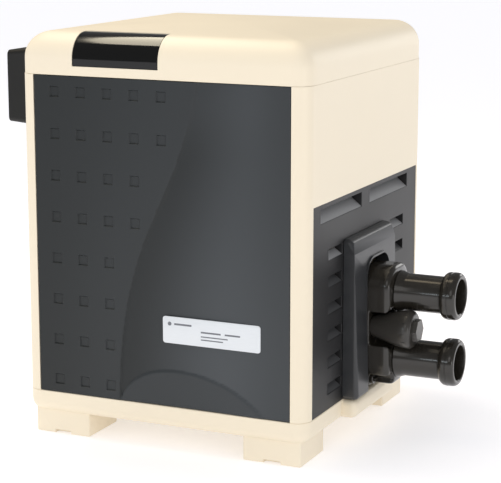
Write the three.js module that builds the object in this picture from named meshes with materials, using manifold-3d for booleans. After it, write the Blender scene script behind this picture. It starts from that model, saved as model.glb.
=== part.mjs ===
// Gas-fired pool and spa water heater: a boxy moulded cabinet on a footed base pan, with a control window in
// its lid, a louvred side panel, a water manifold on the right and a flue hood on the left.
// Millimetres, +Z up. The front faces -Y, the water pipes point to +X, and the feet stand on Z = 0.
import * as THREE from "three";
import { mergeVertices } from "three/addons/utils/BufferGeometryUtils.js";
import Module from "manifold-3d";

const wasm = await Module();
wasm.setup();

// Driving dimensions of the cabinet
const WIDTH = 494;
const DEPTH = 517;
const CORNER_R = 26;
const FOOT_HEIGHT = 38;
const BASE_TOP = 73;
const LID_SEAM = 588;
const LID_SHOULDER = 613;
const LID_EDGE_R = 41;
const LID_CROWN = 662;
const SKIN = 3;
const GAP = 0.3;

// Faces worked out from them
const SIDE_X = WIDTH / 2;
const FRONT_Y = -DEPTH / 2;
const REAR_Y = DEPTH / 2;
const POST_EDGE_X = SIDE_X - CORNER_R - 0.2;
const SHELL_BOTTOM = BASE_TOP + GAP;
const SHELL_TOP = LID_SEAM - GAP;

// Feet
const FOOT = { width: 98, depth: 93, inset: 12, frontY: FRONT_Y + 10.5, rearY: 112 };
const FOOT_NOTCH = { width: 30, height: 6, depth: 12 };

// Control window in the lid: opening, hinge line and sloping fascia
const WINDOW = { left: -150, right: 0, bottom: 602.5 };
const HINGE = { y: -217.5, z: 648.6, barrelR: 4.4, pinR: 1.5, pinHoleR: 1.95 };
const WINDOW_REAR_Y = HINGE.y + 6;
const FASCIA = { y: -228.7, z: 618.3, thickness: 3 };
const DISPLAY = { width: 84, height: 16, above: 9.5 };
const KEY = { count: 6, width: 15, height: 9, pitch: 21, below: 9, proud: 2, flange: 1.2 };

// Front panel decoration
const PANEL = { halfWidth: 220.2, face: FRONT_Y + 0.5, thickness: 6 };
const POCKET = { size: 17, depth: 2, pitchX: 47, firstX: -184, firstZ: 562, pitchZ: 66.6 };
const POCKETS_PER_ROW = [5, 5, 4, 4, 3, 3, 3, 3];
const RECESS_DEPTH = 2.2;
const PLATE = { left: 4, right: 171, bottom: 177, top: 220, thickness: 1.4 };

// Louvred side panel
const GRILLE = { front: -232.7, rear: 230.7, top: 403.7, face: SIDE_X - 0.5, thickness: 3.2 };
const WIDE_LOUVRE = { spans: [[-203, -30], [6, 185]], bottom: 371, height: 26, sillRise: 10, sillReach: 23 };
const LOUVRE = { spans: [[-170, -112], [104, 168]], bottom: 309, height: 20, sillRise: 7, sillReach: 14 };
const LOUVRE_ROWS = { count: 6, pitch: 42.8 };

// Water manifold
const SURROUND = { front: -108, rear: 77, top: 334, proud: 26, edge: 7, wall: 4 };
const MOUTH = { front: -58, rear: 43, bottom: 81, top: 292 };
const HEADER = { y: -7, halfWidth: 43, bottom: 84, top: 281, back: 196, face: 292 };
const PIPE = { outerR: 30.15, boreR: 26, lipR: 38.5, lipLength: 26, end: 409, socketDepth: 12 };
const INLET_Z = 127;
const OUTLET_Z = 235.7;
const BYPASS = { y: -37, z: 181.35, bossR: 20, neckR: 16, capR: 31, boreR: 12.5, end: 358 };
const DRAIN = { y: -42, z: 95, bossR: 11, face: 272 };

// Flue hood
const HOOD = { front: -186, rear: -26, bottom: 494, top: 623, reach: 66, wall: 3, screenInset: 12 };
const FLUE = { startZ: 215, y: -106, z: 540, outerR: 34, wall: 2 };

// Combustion side
const CHAMBER = { x: 50, y: -7, outerR: 118, wall: 3, bottom: 92, top: 318 };
const COIL = { radius: 88, tubeR: 11, boreR: 9, turns: 4 };
const BURNER = { outerR: 38, wall: 1.5, bottom: 205 };
const BLOWER = { x: -130, y: -51, outerR: 66, bottom: 325, top: 385, wall: 2.5 };
const VALVE = { halfX: 32, halfY: 36, bottom: 120, top: 216, portZ: 140 };
const GAS_ENTRY = { x: 120, z: 150, outerR: 13, boreR: 10 };
const GLAND = { shankR: 10, nutR: 15, nutHeight: 7 };
const REAR_PROUD = 16;

// Rear panel: air slots in two banks, and its fixings, all as X and Z
const REAR_SLOT = { banks: [-100, 100], halfWidth: 80, height: 9, levels: [420, 450, 480, 510] };
const REAR_SCREWS = [[-205, 560], [205, 560], [-205, 95], [205, 95]];
const SCREW = { shankR: 2.1, holeR: 2.6, headR: 5, length: 10, headHeight: 2 };

// The frame's origin is under the middle of the whole unit
const CENTRE_X = (PIPE.end - SIDE_X - HOOD.reach) / 2;
const CENTRE_Y = REAR_PROUD / 2;

// ---- solids and cuts ----

function signedVolume(geometry) {
  const flat = geometry.index ? geometry.toNonIndexed() : geometry;
  const p = flat.attributes.position;
  const a = new THREE.Vector3();
  const b = new THREE.Vector3();
  const c = new THREE.Vector3();
  let sum = 0;
  for (let i = 0; i < p.count; i += 3) {
    a.fromBufferAttribute(p, i);
    b.fromBufferAttribute(p, i + 1);
    c.fromBufferAttribute(p, i + 2);
    sum += a.dot(b.cross(c));
  }
  return sum / 6;
}

function solid(geometry) {
  const bare = geometry.clone();
  bare.deleteAttribute("normal");
  bare.deleteAttribute("uv");
  const merged = mergeVertices(bare, 1e-4);
  const triVerts = new Uint32Array(merged.index.array);
  if (signedVolume(merged) < 0) {
    triVerts.reverse();
  }
  const vertProperties = new Float32Array(merged.attributes.position.array);
  return new wasm.Manifold(new wasm.Mesh({ numProp: 3, vertProperties, triVerts }));
}

function surface(body) {
  const mesh = body.getMesh();
  const geometry = new THREE.BufferGeometry();
  geometry.setAttribute("position", new THREE.BufferAttribute(new Float32Array(mesh.vertProperties), 3));
  geometry.setIndex(new THREE.BufferAttribute(new Uint32Array(mesh.triVerts), 1));
  geometry.computeVertexNormals();
  return geometry;
}

function block(x0, x1, y0, y1, z0, z1) {
  const geometry = new THREE.BoxGeometry(x1 - x0, y1 - y0, z1 - z0);
  geometry.translate((x0 + x1) / 2, (y0 + y1) / 2, (z0 + z1) / 2);
  return solid(geometry);
}

// A closed outline drawn in (y, z), pushed along X from x0 to x1
function alongX(shape, x0, x1, options = {}) {
  const geometry = new THREE.ExtrudeGeometry(shape, { depth: x1 - x0, bevelEnabled: false, ...options });
  geometry.applyMatrix4(new THREE.Matrix4().set(0, 0, 1, x0, 1, 0, 0, 0, 0, 1, 0, 0, 0, 0, 0, 1));
  return solid(geometry);
}

// A closed outline drawn in (x, z), pushed along Y from y0 to y1
function alongY(shape, y0, y1, options = {}) {
  const geometry = new THREE.ExtrudeGeometry(shape, { depth: y1 - y0, bevelEnabled: false, ...options });
  geometry.rotateX(Math.PI / 2);
  geometry.translate(0, y1, 0);
  return solid(geometry);
}

// A closed outline drawn in (x, y), pushed up Z from z0 to z1
function alongZ(shape, z0, z1, options = {}) {
  const geometry = new THREE.ExtrudeGeometry(shape, { depth: z1 - z0, bevelEnabled: false, ...options });
  geometry.translate(0, 0, z0);
  return solid(geometry);
}

function outline(points) {
  return new THREE.Shape(points.map(([a, b]) => new THREE.Vector2(a, b)));
}

function roundedRect(a0, a1, b0, b1, r) {
  const shape = new THREE.Shape();
  shape.moveTo(a0 + r, b0);
  shape.lineTo(a1 - r, b0);
  shape.absarc(a1 - r, b0 + r, r, -Math.PI / 2, 0);
  shape.lineTo(a1, b1 - r);
  shape.absarc(a1 - r, b1 - r, r, 0, Math.PI / 2);
  shape.lineTo(a0 + r, b1);
  shape.absarc(a0 + r, b1 - r, r, Math.PI / 2, Math.PI);
  shape.lineTo(a0, b0 + r);
  shape.absarc(a0 + r, b0 + r, r, Math.PI, 1.5 * Math.PI);
  return shape;
}

// A turned piece: profile of [distance along the axis, radius], closed on the axis or on itself
function turned(profile, axis, at, sides = 16) {
  const points = profile.map(([along, r]) => new THREE.Vector2(r, along));
  const geometry = new THREE.LatheGeometry(points, sides);
  if (axis === "x") {
    geometry.rotateZ(-Math.PI / 2);
  }
  if (axis === "z") {
    geometry.rotateX(Math.PI / 2);
  }
  geometry.translate(...at);
  return solid(geometry);
}

function rod(axis, at, r, start, end, sides = 16) {
  return turned([[start, 0], [start, r], [end, r], [end, 0]], axis, at, sides);
}

function tube(axis, at, outerR, innerR, start, end, sides = 16) {
  const profile = [[start, innerR], [start, outerR], [end, outerR], [end, innerR], [start, innerR]];
  return turned(profile, axis, at, sides);
}

// A round pipe bent along a smooth route, hollow where boreR is given
function bentPipe(route, outerR, boreR, steps, sides = 10) {
  const section = new THREE.Shape();
  section.absarc(0, 0, outerR, 0, 2 * Math.PI);
  if (boreR > 0) {
    const bore = new THREE.Path();
    bore.absarc(0, 0, boreR, 0, 2 * Math.PI);
    section.holes.push(bore);
  }
  const path = new THREE.CatmullRomCurve3(route.map((p) => new THREE.Vector3(...p)));
  const options = { steps, extrudePath: path, curveSegments: sides / 2, bevelEnabled: false };
  return solid(new THREE.ExtrudeGeometry(section, options));
}

// ---- cabinet ----

function cabinetOutline(inset) {
  const r = CORNER_R - inset;
  return roundedRect(-SIDE_X + inset, SIDE_X - inset, FRONT_Y + inset, REAR_Y - inset, r);
}

function footAt(x0, y0, notched) {
  const foot = block(x0, x0 + FOOT.width, y0, y0 + FOOT.depth, 0, FOOT_HEIGHT + 4);
  if (!notched) {
    return foot;
  }
  const middle = x0 + FOOT.width / 2;
  const half = FOOT_NOTCH.width / 2;
  const [x1, x2] = [middle - half, middle + half];
  return foot.subtract(block(x1, x2, y0 - 1, y0 + FOOT_NOTCH.depth, -1, FOOT_NOTCH.height));
}

function basePan() {
  const taper = { bevelEnabled: true, bevelThickness: 14, bevelSize: 12, bevelSegments: 3, curveSegments: 5 };
  let pan = alongZ(cabinetOutline(12), FOOT_HEIGHT + 14, BASE_TOP + 20, taper);
  pan = pan.intersect(block(-SIDE_X, SIDE_X, FRONT_Y, REAR_Y, 0, BASE_TOP));
  pan = pan.subtract(alongZ(cabinetOutline(20), FOOT_HEIGHT + 8, BASE_TOP + 1, { curveSegments: 3 }));
  const shelf = new THREE.Shape();
  shelf.moveTo(SIDE_X - 6, FOOT_HEIGHT + 6);
  shelf.lineTo(SIDE_X + 9, FOOT_HEIGHT + 6);
  shelf.absarc(SIDE_X + 9, FOOT_HEIGHT + 20, 14, -Math.PI / 2, 0);
  shelf.lineTo(SIDE_X + 23, BASE_TOP);
  shelf.lineTo(SIDE_X - 6, BASE_TOP);
  pan = pan.add(alongY(shelf, SURROUND.front, SURROUND.rear, { curveSegments: 4 }));
  const outer = SIDE_X - FOOT.inset - FOOT.width;
  for (const x0 of [outer, -outer - FOOT.width]) {
    pan = pan.add(footAt(x0, FOOT.frontY, true));
    pan = pan.add(footAt(x0, FOOT.rearY, false));
  }
  return pan;
}

// The lid's outer form, drawn in by an inset: two rounded profiles and the cabinet's plan, all crossed
function lidForm(inset, bottom) {
  const profile = (half, rise) => {
    const shape = new THREE.Shape();
    const r = LID_EDGE_R - inset;
    const reach = half - LID_EDGE_R;
    const tilt = Math.atan2(2 * rise, reach);
    const top = LID_SHOULDER + r * Math.cos(tilt);
    const start = reach + r * Math.sin(tilt);
    shape.moveTo(half - inset, bottom);
    shape.lineTo(half - inset, LID_SHOULDER);
    shape.absarc(reach, LID_SHOULDER, r, 0, Math.PI / 2 - tilt);
    shape.quadraticCurveTo(start / 2, top + rise, 0, top + rise);
    shape.quadraticCurveTo(-start / 2, top + rise, -start, top);
    shape.absarc(-reach, LID_SHOULDER, r, Math.PI / 2 + tilt, Math.PI);
    shape.lineTo(-half + inset, bottom);
    return shape;
  };
  const crown = LID_CROWN - LID_SHOULDER - LID_EDGE_R;
  const side = alongX(profile(REAR_Y, crown), -SIDE_X, SIDE_X, { curveSegments: 5 });
  const front = alongY(profile(SIDE_X, crown), FRONT_Y, REAR_Y, { curveSegments: 5 });
  const plan = alongZ(cabinetOutline(inset), bottom, LID_CROWN + 1, { curveSegments: 4 });
  return side.intersect(front).intersect(plan);
}

function windowBlock(side, y1, z0) {
  return block(WINDOW.left + side, WINDOW.right - side, FRONT_Y - 5, y1, z0, LID_CROWN + 10);
}

function lid() {
  const shell = lidForm(0, LID_SEAM).subtract(lidForm(SKIN, LID_SEAM - 5));
  return shell.subtract(windowBlock(0, WINDOW_REAR_Y, WINDOW.bottom));
}

function casing(sign) {
  let shell = alongZ(cabinetOutline(0), SHELL_BOTTOM, SHELL_TOP, { curveSegments: 4 });
  shell = shell.subtract(alongZ(cabinetOutline(SKIN), BASE_TOP - 1, LID_SEAM + 1, { curveSegments: 4 }));
  const inner = sign * POST_EDGE_X;
  const outer = sign * (SIDE_X + 1);
  return shell.intersect(
    block(Math.min(inner, outer), Math.max(inner, outer), FRONT_Y - 1, REAR_Y + 1, 0, LID_SEAM),
  );
}

function leftCasing() {
  return casing(-1).subtract(rod("x", [0, FLUE.y, FLUE.z], FLUE.outerR + 1, -SIDE_X - 2, -SIDE_X + 6));
}

function rightCasing() {
  const { front, rear, top } = GRILLE;
  return casing(1).subtract(block(SIDE_X - 10, SIDE_X + 2, front - GAP, rear + GAP, 0, top + GAP));
}

function rearPanel() {
  const half = PANEL.halfWidth;
  let panel = block(-half, half, REAR_Y - SKIN, REAR_Y, SHELL_BOTTOM, SHELL_TOP);
  for (const x of REAR_SLOT.banks) {
    for (const z of REAR_SLOT.levels) {
      const [x0, x1] = [x - REAR_SLOT.halfWidth, x + REAR_SLOT.halfWidth];
      panel = panel.subtract(block(x0, x1, REAR_Y - 8, REAR_Y + 2, z, z + REAR_SLOT.height));
    }
  }
  const gasHoleR = GAS_ENTRY.outerR + 1.2;
  const glandHoleR = GLAND.shankR + 0.5;
  panel = panel.subtract(rod("y", [GAS_ENTRY.x, 0, GAS_ENTRY.z], gasHoleR, REAR_Y - 8, REAR_Y + 2));
  panel = panel.subtract(rod("y", [-GAS_ENTRY.x, 0, GAS_ENTRY.z], glandHoleR, REAR_Y - 8, REAR_Y + 2));
  for (const [x, z] of REAR_SCREWS) {
    panel = panel.subtract(rod("y", [x, 0, z], SCREW.holeR, REAR_Y - 8, REAR_Y + 2, 12));
  }
  return panel;
}

function rearScrew() {
  const { shankR, headR, length, headHeight } = SCREW;
  const seat = REAR_Y + GAP;
  const profile = [
    [REAR_Y - length, 0],
    [REAR_Y - length, shankR],
    [seat, shankR],
    [seat, headR],
    [seat + headHeight, headR - 1],
    [seat + headHeight, 0],
  ];
  return turned(profile, "y", [0, 0, 0], 8);
}

// The sweep that divides the flat half of the front panel from its hollowed half
function recessOutline() {
  const shape = new THREE.Shape();
  const right = PANEL.halfWidth + 1;
  shape.moveTo(65, SHELL_TOP + 1);
  shape.bezierCurveTo(55, 530, 40, 480, 8, 412);
  shape.bezierCurveTo(-35, 325, -72, 240, -73.5, 81);
  shape.bezierCurveTo(-50, 145, 60, 145, 110, 119.5);
  shape.bezierCurveTo(140, 108, 162, 92, 178, SHELL_BOTTOM - 1);
  shape.lineTo(right, SHELL_BOTTOM - 1);
  shape.lineTo(right, SHELL_TOP + 1);
  return shape;
}

function frontPanel() {
  const { halfWidth, face, thickness } = PANEL;
  let panel = block(-halfWidth, halfWidth, face, face + thickness, SHELL_BOTTOM, SHELL_TOP);
  panel = panel.subtract(alongY(recessOutline(), face - 5, face + RECESS_DEPTH, { curveSegments: 8 }));
  const half = POCKET.size / 2;
  POCKETS_PER_ROW.forEach((count, row) => {
    for (let column = 0; column < count; column += 1) {
      const x = POCKET.firstX + column * POCKET.pitchX;
      const z = POCKET.firstZ - row * POCKET.pitchZ;
      panel = panel.subtract(block(x - half, x + half, face - 5, face + POCKET.depth, z - half, z + half));
    }
  });
  return panel;
}

function namePlate() {
  const face = PANEL.face + RECESS_DEPTH - GAP;
  return alongY(
    roundedRect(PLATE.left, PLATE.right, PLATE.bottom, PLATE.top, 4),
    face - PLATE.thickness,
    face,
    { curveSegments: 3 },
  );
}

// ---- louvred side panel ----

function louvre(y0, y1, size, bottom) {
  const x = GRILLE.face;
  const sill = outline([
    [x - 1, bottom - 3],
    [x - 1, bottom],
    [x - size.sillReach, bottom + size.sillRise],
    [x - size.sillReach, bottom + size.sillRise - 2],
    [x - GRILLE.thickness, bottom - 3],
  ]);
  return {
    hole: block(x - 10, x + 2, y0, y1, bottom, bottom + size.height),
    blade: alongY(sill, y0 - 2, y1 + 2),
  };
}

function sideGrille() {
  const { front, rear, top, face, thickness } = GRILLE;
  const louvres = WIDE_LOUVRE.spans.map(([y0, y1]) => louvre(y0, y1, WIDE_LOUVRE, WIDE_LOUVRE.bottom));
  for (let row = 0; row < LOUVRE_ROWS.count; row += 1) {
    for (const [y0, y1] of LOUVRE.spans) {
      louvres.push(louvre(y0, y1, LOUVRE, LOUVRE.bottom - row * LOUVRE_ROWS.pitch));
    }
  }
  let panel = block(face - thickness, face, front, rear, SHELL_BOTTOM, top);
  for (const each of louvres) {
    panel = panel.subtract(each.hole);
  }
  for (const each of louvres) {
    panel = panel.add(each.blade);
  }
  const [y0, y1] = [MOUTH.front - 2, MOUTH.rear + 2];
  return panel.subtract(block(face - 30, face + 2, y0, y1, MOUTH.bottom - 2, MOUTH.top + 2));
}

// ---- water manifold ----

function manifoldSurround() {
  const { front, rear, top, proud, edge, wall } = SURROUND;
  const back = SIDE_X + GAP;
  const face = SIDE_X + proud;
  const rim = roundedRect(front + edge, rear - edge, BASE_TOP + GAP + edge, top - edge, 3);
  const rounding = { bevelThickness: edge, bevelSize: edge, bevelSegments: 3 };
  const soft = { bevelEnabled: true, curveSegments: 2, ...rounding };
  let bezel = alongX(rim, back - 20, face - edge, soft);
  bezel = bezel.intersect(block(back, face + 1, front, rear, 0, top));
  const slope = outline([[face + 1, top - 22], [face + 1, top + 1], [face - 16, top + 1]]);
  bezel = bezel.subtract(alongY(slope, front - 1, rear + 1));
  bezel = bezel.subtract(
    block(back - 1, face - wall - 4, front + wall, rear - wall, BASE_TOP + wall, top - 22 - wall),
  );
  const collar = roundedRect(MOUTH.front - 3, MOUTH.rear + 3, MOUTH.bottom - 3, MOUTH.top + 3, 33);
  bezel = bezel.add(alongX(collar, back, face - wall, { curveSegments: 5 }));
  const mouth = roundedRect(MOUTH.front, MOUTH.rear, MOUTH.bottom, MOUTH.top, 30);
  bezel = bezel.subtract(alongX(mouth, back - 5, face + 5, { curveSegments: 5 }));
  const foot = roundedRect(MOUTH.front, MOUTH.rear, MOUTH.bottom, MOUTH.bottom + 60, 8);
  return bezel.subtract(alongX(foot, back - 5, face + 5, { curveSegments: 2 }));
}

function manifoldHeader() {
  const { y, halfWidth, bottom, top, back, face } = HEADER;
  const column = roundedRect(y - halfWidth + 5, y + halfWidth - 5, bottom + 5, top - 5, halfWidth - 6);
  const soft = { bevelEnabled: true, bevelThickness: 5, bevelSize: 5, bevelSegments: 1, curveSegments: 5 };
  let header = alongX(column, back + 5, face - 5, soft);
  header = header.add(rod("x", [0, BYPASS.y, BYPASS.z], BYPASS.bossR, back + 50, face - 10));
  header = header.add(rod("x", [0, DRAIN.y, DRAIN.z], DRAIN.bossR, back + 50, DRAIN.face));
  for (const z of [INLET_Z, OUTLET_Z]) {
    header = header.subtract(rod("x", [0, y, z], PIPE.boreR, back - 1, face + 1, 20));
    header = header.subtract(rod("x", [0, y, z], PIPE.outerR + 0.6, face - PIPE.socketDepth, face + 1, 20));
  }
  header = header.subtract(rod("x", [0, BYPASS.y, BYPASS.z], BYPASS.boreR, back + 10, face + 1));
  header = header.subtract(rod("x", [0, BYPASS.y, BYPASS.z], BYPASS.neckR + 0.5, face - 24, face + 1));
  header = header.subtract(rod("x", [0, DRAIN.y, DRAIN.z], 5.4, DRAIN.face - 14, DRAIN.face + 1, 12));
  header = header.subtract(rod("x", [0, DRAIN.y, DRAIN.z], DRAIN.bossR, DRAIN.face, face + 1));
  return header.subtract(block(back + 10, back + 34, BYPASS.y - 8, BYPASS.y + 8, INLET_Z, OUTLET_Z));
}

function waterPipe(z) {
  const { outerR, boreR, lipR, lipLength, end, socketDepth } = PIPE;
  const start = HEADER.face - socketDepth + 2 + GAP;
  const lip = end - lipLength;
  const profile = [
    [start, boreR],
    [start, outerR],
    [HEADER.face + GAP, outerR],
    [HEADER.face + GAP, outerR + 3],
    [HEADER.face + 9, outerR + 2],
    [HEADER.face + 14, outerR],
    [lip, outerR],
    [lip + 3, lipR - 3],
    [lip + 10, lipR],
    [end - 9, lipR],
    [end - 3, lipR - 3],
    [end, lipR - 6],
    [end, outerR - 2],
    [end - 16, boreR],
    [start, boreR],
  ];
  return turned(profile, "x", [0, HEADER.y, z], 20);
}

function pipeGasket(z) {
  const seat = HEADER.face - PIPE.socketDepth;
  return tube("x", [0, HEADER.y, z], PIPE.outerR, PIPE.boreR + 0.4, seat + 0.2, seat + 2);
}

function bypassBonnet() {
  const { y, z, neckR, capR, end } = BYPASS;
  const start = HEADER.face - 23;
  const profile = [
    [start, 12],
    [start, neckR],
    [HEADER.face + 2, neckR],
    [HEADER.face + 4, neckR + 3],
    [HEADER.face + 16, capR - 3],
    [HEADER.face + 22, capR],
    [end - 22, capR],
    [end - 17, capR - 4],
    [end - 17, 20],
    [end, 18],
    [end, 0],
    [end - 14, 0],
    [end - 14, 12],
    [start, 12],
  ];
  return turned(profile, "x", [0, y, z], 18);
}

function bypassPlunger() {
  const { y, z } = BYPASS;
  const seat = HEADER.face - 34;
  const profile = [[seat, 0], [seat, 11], [seat + 4, 11], [seat + 4, 4], [seat + 66, 4], [seat + 66, 0]];
  return turned(profile, "x", [0, y, z], 12);
}

function bypassSpring() {
  const start = HEADER.face - 26;
  const route = [];
  const turns = 5;
  const perTurn = 7;
  for (let i = 0; i <= turns * perTurn; i += 1) {
    const angle = (2 * Math.PI * i) / perTurn;
    const x = start + (36 * i) / (turns * perTurn);
    route.push([x, BYPASS.y + 7.5 * Math.cos(angle), BYPASS.z + 7.5 * Math.sin(angle)]);
  }
  return bentPipe(route, 1.2, 0, turns * perTurn, 4);
}

function drainPlug() {
  const x = DRAIN.face;
  const profile = [[x - 12, 0], [x - 12, 4.9], [x + GAP, 4.9], [x + GAP, 9]];
  profile.push([x + 8, 9], [x + 10, 7], [x + 10, 0]);
  return turned(profile, "x", [0, DRAIN.y, DRAIN.z], 12);
}

// ---- flue hood and duct ----

// A block whose outer face (at -X) is drawn in at the top and the bottom
function hoodBlock(x0, x1, inset, topDrop, bottomRise) {
  const y0 = HOOD.front + inset;
  const y1 = HOOD.rear - inset;
  const z0 = HOOD.bottom + inset;
  const z1 = HOOD.top - inset;
  const side = outline([[x0, z0 + bottomRise], [x1, z0], [x1, z1], [x0, z1 - topDrop]]);
  return alongY(side, y0, y1);
}

function exhaustHood() {
  const root = -SIDE_X - GAP;
  const mouth = -SIDE_X - HOOD.reach;
  const cavity = hoodBlock(mouth - 1, root + 1, HOOD.wall, 7, 5);
  let hood = hoodBlock(mouth, root, 0, 7, 5).subtract(cavity);
  hood = hood.add(block(root - 3, root, HOOD.front + 1, HOOD.rear - 1, HOOD.bottom + 1, HOOD.top - 12));
  return hood.subtract(rod("x", [0, FLUE.y, FLUE.z], FLUE.outerR + 1, root - 5, root + 5));
}

function hoodScreen() {
  const x = -SIDE_X - HOOD.reach + HOOD.screenInset;
  const inset = HOOD.wall + 7;
  const [y0, y1] = [HOOD.front + HOOD.wall + GAP, HOOD.rear - HOOD.wall - GAP];
  let screen = block(x, x + 2, y0, y1, HOOD.bottom + inset, HOOD.top - inset);
  const slots = 11;
  const bar = 4;
  const pitch = (y1 - y0 - 6) / slots;
  const [z0, z1] = [HOOD.bottom + inset + 5, HOOD.top - inset - 5];
  for (let i = 0; i < slots; i += 1) {
    const y = y0 + 5 + i * pitch;
    screen = screen.subtract(block(x - 1, x + 3, y, y + pitch - bar, z0, z1));
  }
  return screen;
}

function flueDuct() {
  const wallX = -SIDE_X + 1;
  const route = [
    [-37, 80, FLUE.startZ],
    [-70, 113, 222],
    [-118, 150, 255],
    [-150, 165, 330],
    [-165, 140, 430],
    [-172, 60, 505],
    [-175, -40, 535],
    [-195, -98, FLUE.z],
    [-222, FLUE.y, FLUE.z],
    [wallX, FLUE.y, FLUE.z],
  ];
  return bentPipe(route, FLUE.outerR, FLUE.outerR - FLUE.wall, 15, 10);
}

// ---- combustion side ----

function combustionChamber() {
  const { x, y, outerR, wall, bottom, top } = CHAMBER;
  const profile = [[bottom, 0], [bottom, outerR], [top, outerR], [top, outerR - wall]];
  profile.push([bottom + wall, outerR - wall], [bottom + wall, 0]);
  let cup = turned(profile, "z", [x, y, 0], 24);
  cup = cup.subtract(block(x + outerR - 20, x + outerR + 5, y - 38, y + 38, INLET_Z - 16, OUTLET_Z + 16));
  const flueHole = rod("z", [0, 0, 0], FLUE.outerR - 2, -20, 20).rotate([90, 0, 45]);
  const offset = outerR * Math.SQRT1_2;
  return cup.subtract(flueHole.translate([x - offset, y + offset, FLUE.startZ]));
}

function chamberStand() {
  const floor = FOOT_HEIGHT + 8 + GAP;
  return tube("z", [CHAMBER.x, CHAMBER.y, 0], 96, 92, floor, CHAMBER.bottom - GAP, 24);
}

function chamberLid() {
  const { x, y, outerR, top } = CHAMBER;
  const plate = tube("z", [x, y, 0], outerR + 4, BURNER.outerR + 2, top + GAP, top + 4, 24);
  return plate.subtract(rod("z", [x + 58, y, 0], 4.6, top - 2, top + 8, 12));
}

function heatExchangerCoil() {
  const { radius, tubeR, boreR, turns } = COIL;
  const out = HEADER.back - 6.6;
  const perTurn = 10;
  const lead = Math.PI / 5;
  const sweep = turns * 2 * Math.PI - 2 * lead;
  const steps = turns * perTurn;
  const route = [[out, HEADER.y, INLET_Z], [out - 24, HEADER.y, INLET_Z]];
  for (let i = 0; i <= steps; i += 1) {
    const angle = lead + (sweep * i) / steps;
    const z = INLET_Z + ((OUTLET_Z - INLET_Z) * i) / steps;
    route.push([CHAMBER.x + radius * Math.cos(angle), CHAMBER.y + radius * Math.sin(angle), z]);
  }
  route.push([out - 24, HEADER.y, OUTLET_Z], [out, HEADER.y, OUTLET_Z]);
  return bentPipe(route, tubeR, boreR, 46, 6);
}

function tubeSheet() {
  const { y, halfWidth, bottom, top, back } = HEADER;
  let sheet = block(back - 6, back - GAP, y - halfWidth, y + halfWidth, bottom, top);
  for (const z of [INLET_Z, OUTLET_Z]) {
    sheet = sheet.subtract(rod("x", [0, y, z], COIL.boreR, back - 8, back + 2, 16));
  }
  return sheet;
}

function burner() {
  const { outerR, wall, bottom } = BURNER;
  const seat = CHAMBER.top + 4 + GAP;
  const profile = [
    [bottom, 0],
    [bottom, outerR],
    [seat, outerR],
    [seat, outerR + 12],
    [seat + 2, outerR + 12],
    [seat + 2, outerR - wall],
    [bottom + wall, outerR - wall],
    [bottom + wall, 0],
  ];
  return turned(profile, "z", [CHAMBER.x, CHAMBER.y, 0], 16);
}

function igniter() {
  const seat = CHAMBER.top + 4 + GAP;
  const profile = [[255, 0], [255, 3], [seat, 3], [seat, 8], [seat + 8, 8], [seat + 22, 5], [seat + 22, 0]];
  return turned(profile, "z", [CHAMBER.x + 58, CHAMBER.y, 0], 12);
}

function blowerForm(inset) {
  const { x, y, outerR, bottom, top } = BLOWER;
  const drumR = 44;
  const ductRear = y + outerR;
  const scroll = rod("z", [x, y, 0], outerR - inset, bottom + inset, top - inset, 20);
  const duct = block(x, CHAMBER.x, ductRear - 44 + inset, ductRear - inset, bottom + inset, top - inset);
  const drum = rod("z", [CHAMBER.x, CHAMBER.y, 0], drumR - inset, bottom + inset, top - inset, 16);
  return scroll.add(duct).add(drum);
}

function blowerHousing() {
  const { x, y, bottom, top, wall } = BLOWER;
  let housing = blowerForm(0).subtract(blowerForm(wall));
  housing = housing.subtract(rod("z", [CHAMBER.x, CHAMBER.y, 0], BURNER.outerR - 4, bottom - 2, bottom + 5));
  housing = housing.subtract(rod("z", [x, y, 0], 26, bottom - 2, bottom + 5));
  return housing.subtract(rod("z", [x, y, 0], 9, top - 5, top + 2, 16));
}

function blowerImpeller() {
  const { x, y, bottom, top } = BLOWER;
  const low = bottom + 8;
  const high = top - 8;
  let wheel = rod("z", [x, y, 0], 54, high - 2, high, 20);
  wheel = wheel.add(rod("z", [x, y, 0], 10, low + 10, high - 1, 16));
  const blades = 12;
  for (let i = 0; i < blades; i += 1) {
    const blade = block(30, 53, -1, 1, low, high - 1).rotate([0, 0, (360 * i) / blades]);
    wheel = wheel.add(blade.translate([x, y, 0]));
  }
  return wheel.subtract(rod("z", [x, y, 0], 4.4, low, high + 2, 12));
}

function blowerShaft() {
  return rod("z", [BLOWER.x, BLOWER.y, 0], 4, BLOWER.bottom + 20, BLOWER.top + 18, 12);
}

function blowerMotor() {
  const { x, y, top } = BLOWER;
  const z = top + GAP;
  const profile = [[z, 5], [z, 28], [z + 6, 30], [z + 6, 40], [z + 66, 40], [z + 76, 30], [z + 76, 0]];
  profile.push([z + 22, 0], [z + 22, 5], [z, 5]);
  return turned(profile, "z", [x, y, 0], 16);
}

function airGasMixer() {
  const high = BLOWER.bottom - GAP;
  const low = high - 66;
  const profile = [[low, 27], [low, 31], [low + 22, 21], [low + 40, 21], [high - 4, 29], [high, 29]];
  profile.push([high, 25], [low + 42, 18], [low + 20, 18], [low, 27]);
  return turned(profile, "z", [BLOWER.x, BLOWER.y, 0], 14);
}

function gasNozzle() {
  return tube("z", [BLOWER.x, BLOWER.y, 0], 9, 6, VALVE.top + GAP, VALVE.top + 60, 16);
}

function gasValve() {
  const { x, y } = BLOWER;
  const { halfX, halfY, bottom, top, portZ } = VALVE;
  let valve = block(x - halfX, x + halfX, y - halfY, y + halfY, bottom, top);
  valve = valve.subtract(rod("z", [x, y, 0], 6, top - 20, top + 4, 12));
  valve = valve.subtract(rod("y", [x, 0, portZ], 5.5, y - halfY - 4, y - halfY + 12, 12));
  return valve.subtract(rod("y", [x, 0, portZ], 10, y + halfY - 16, y + halfY + 4, 16));
}

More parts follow.
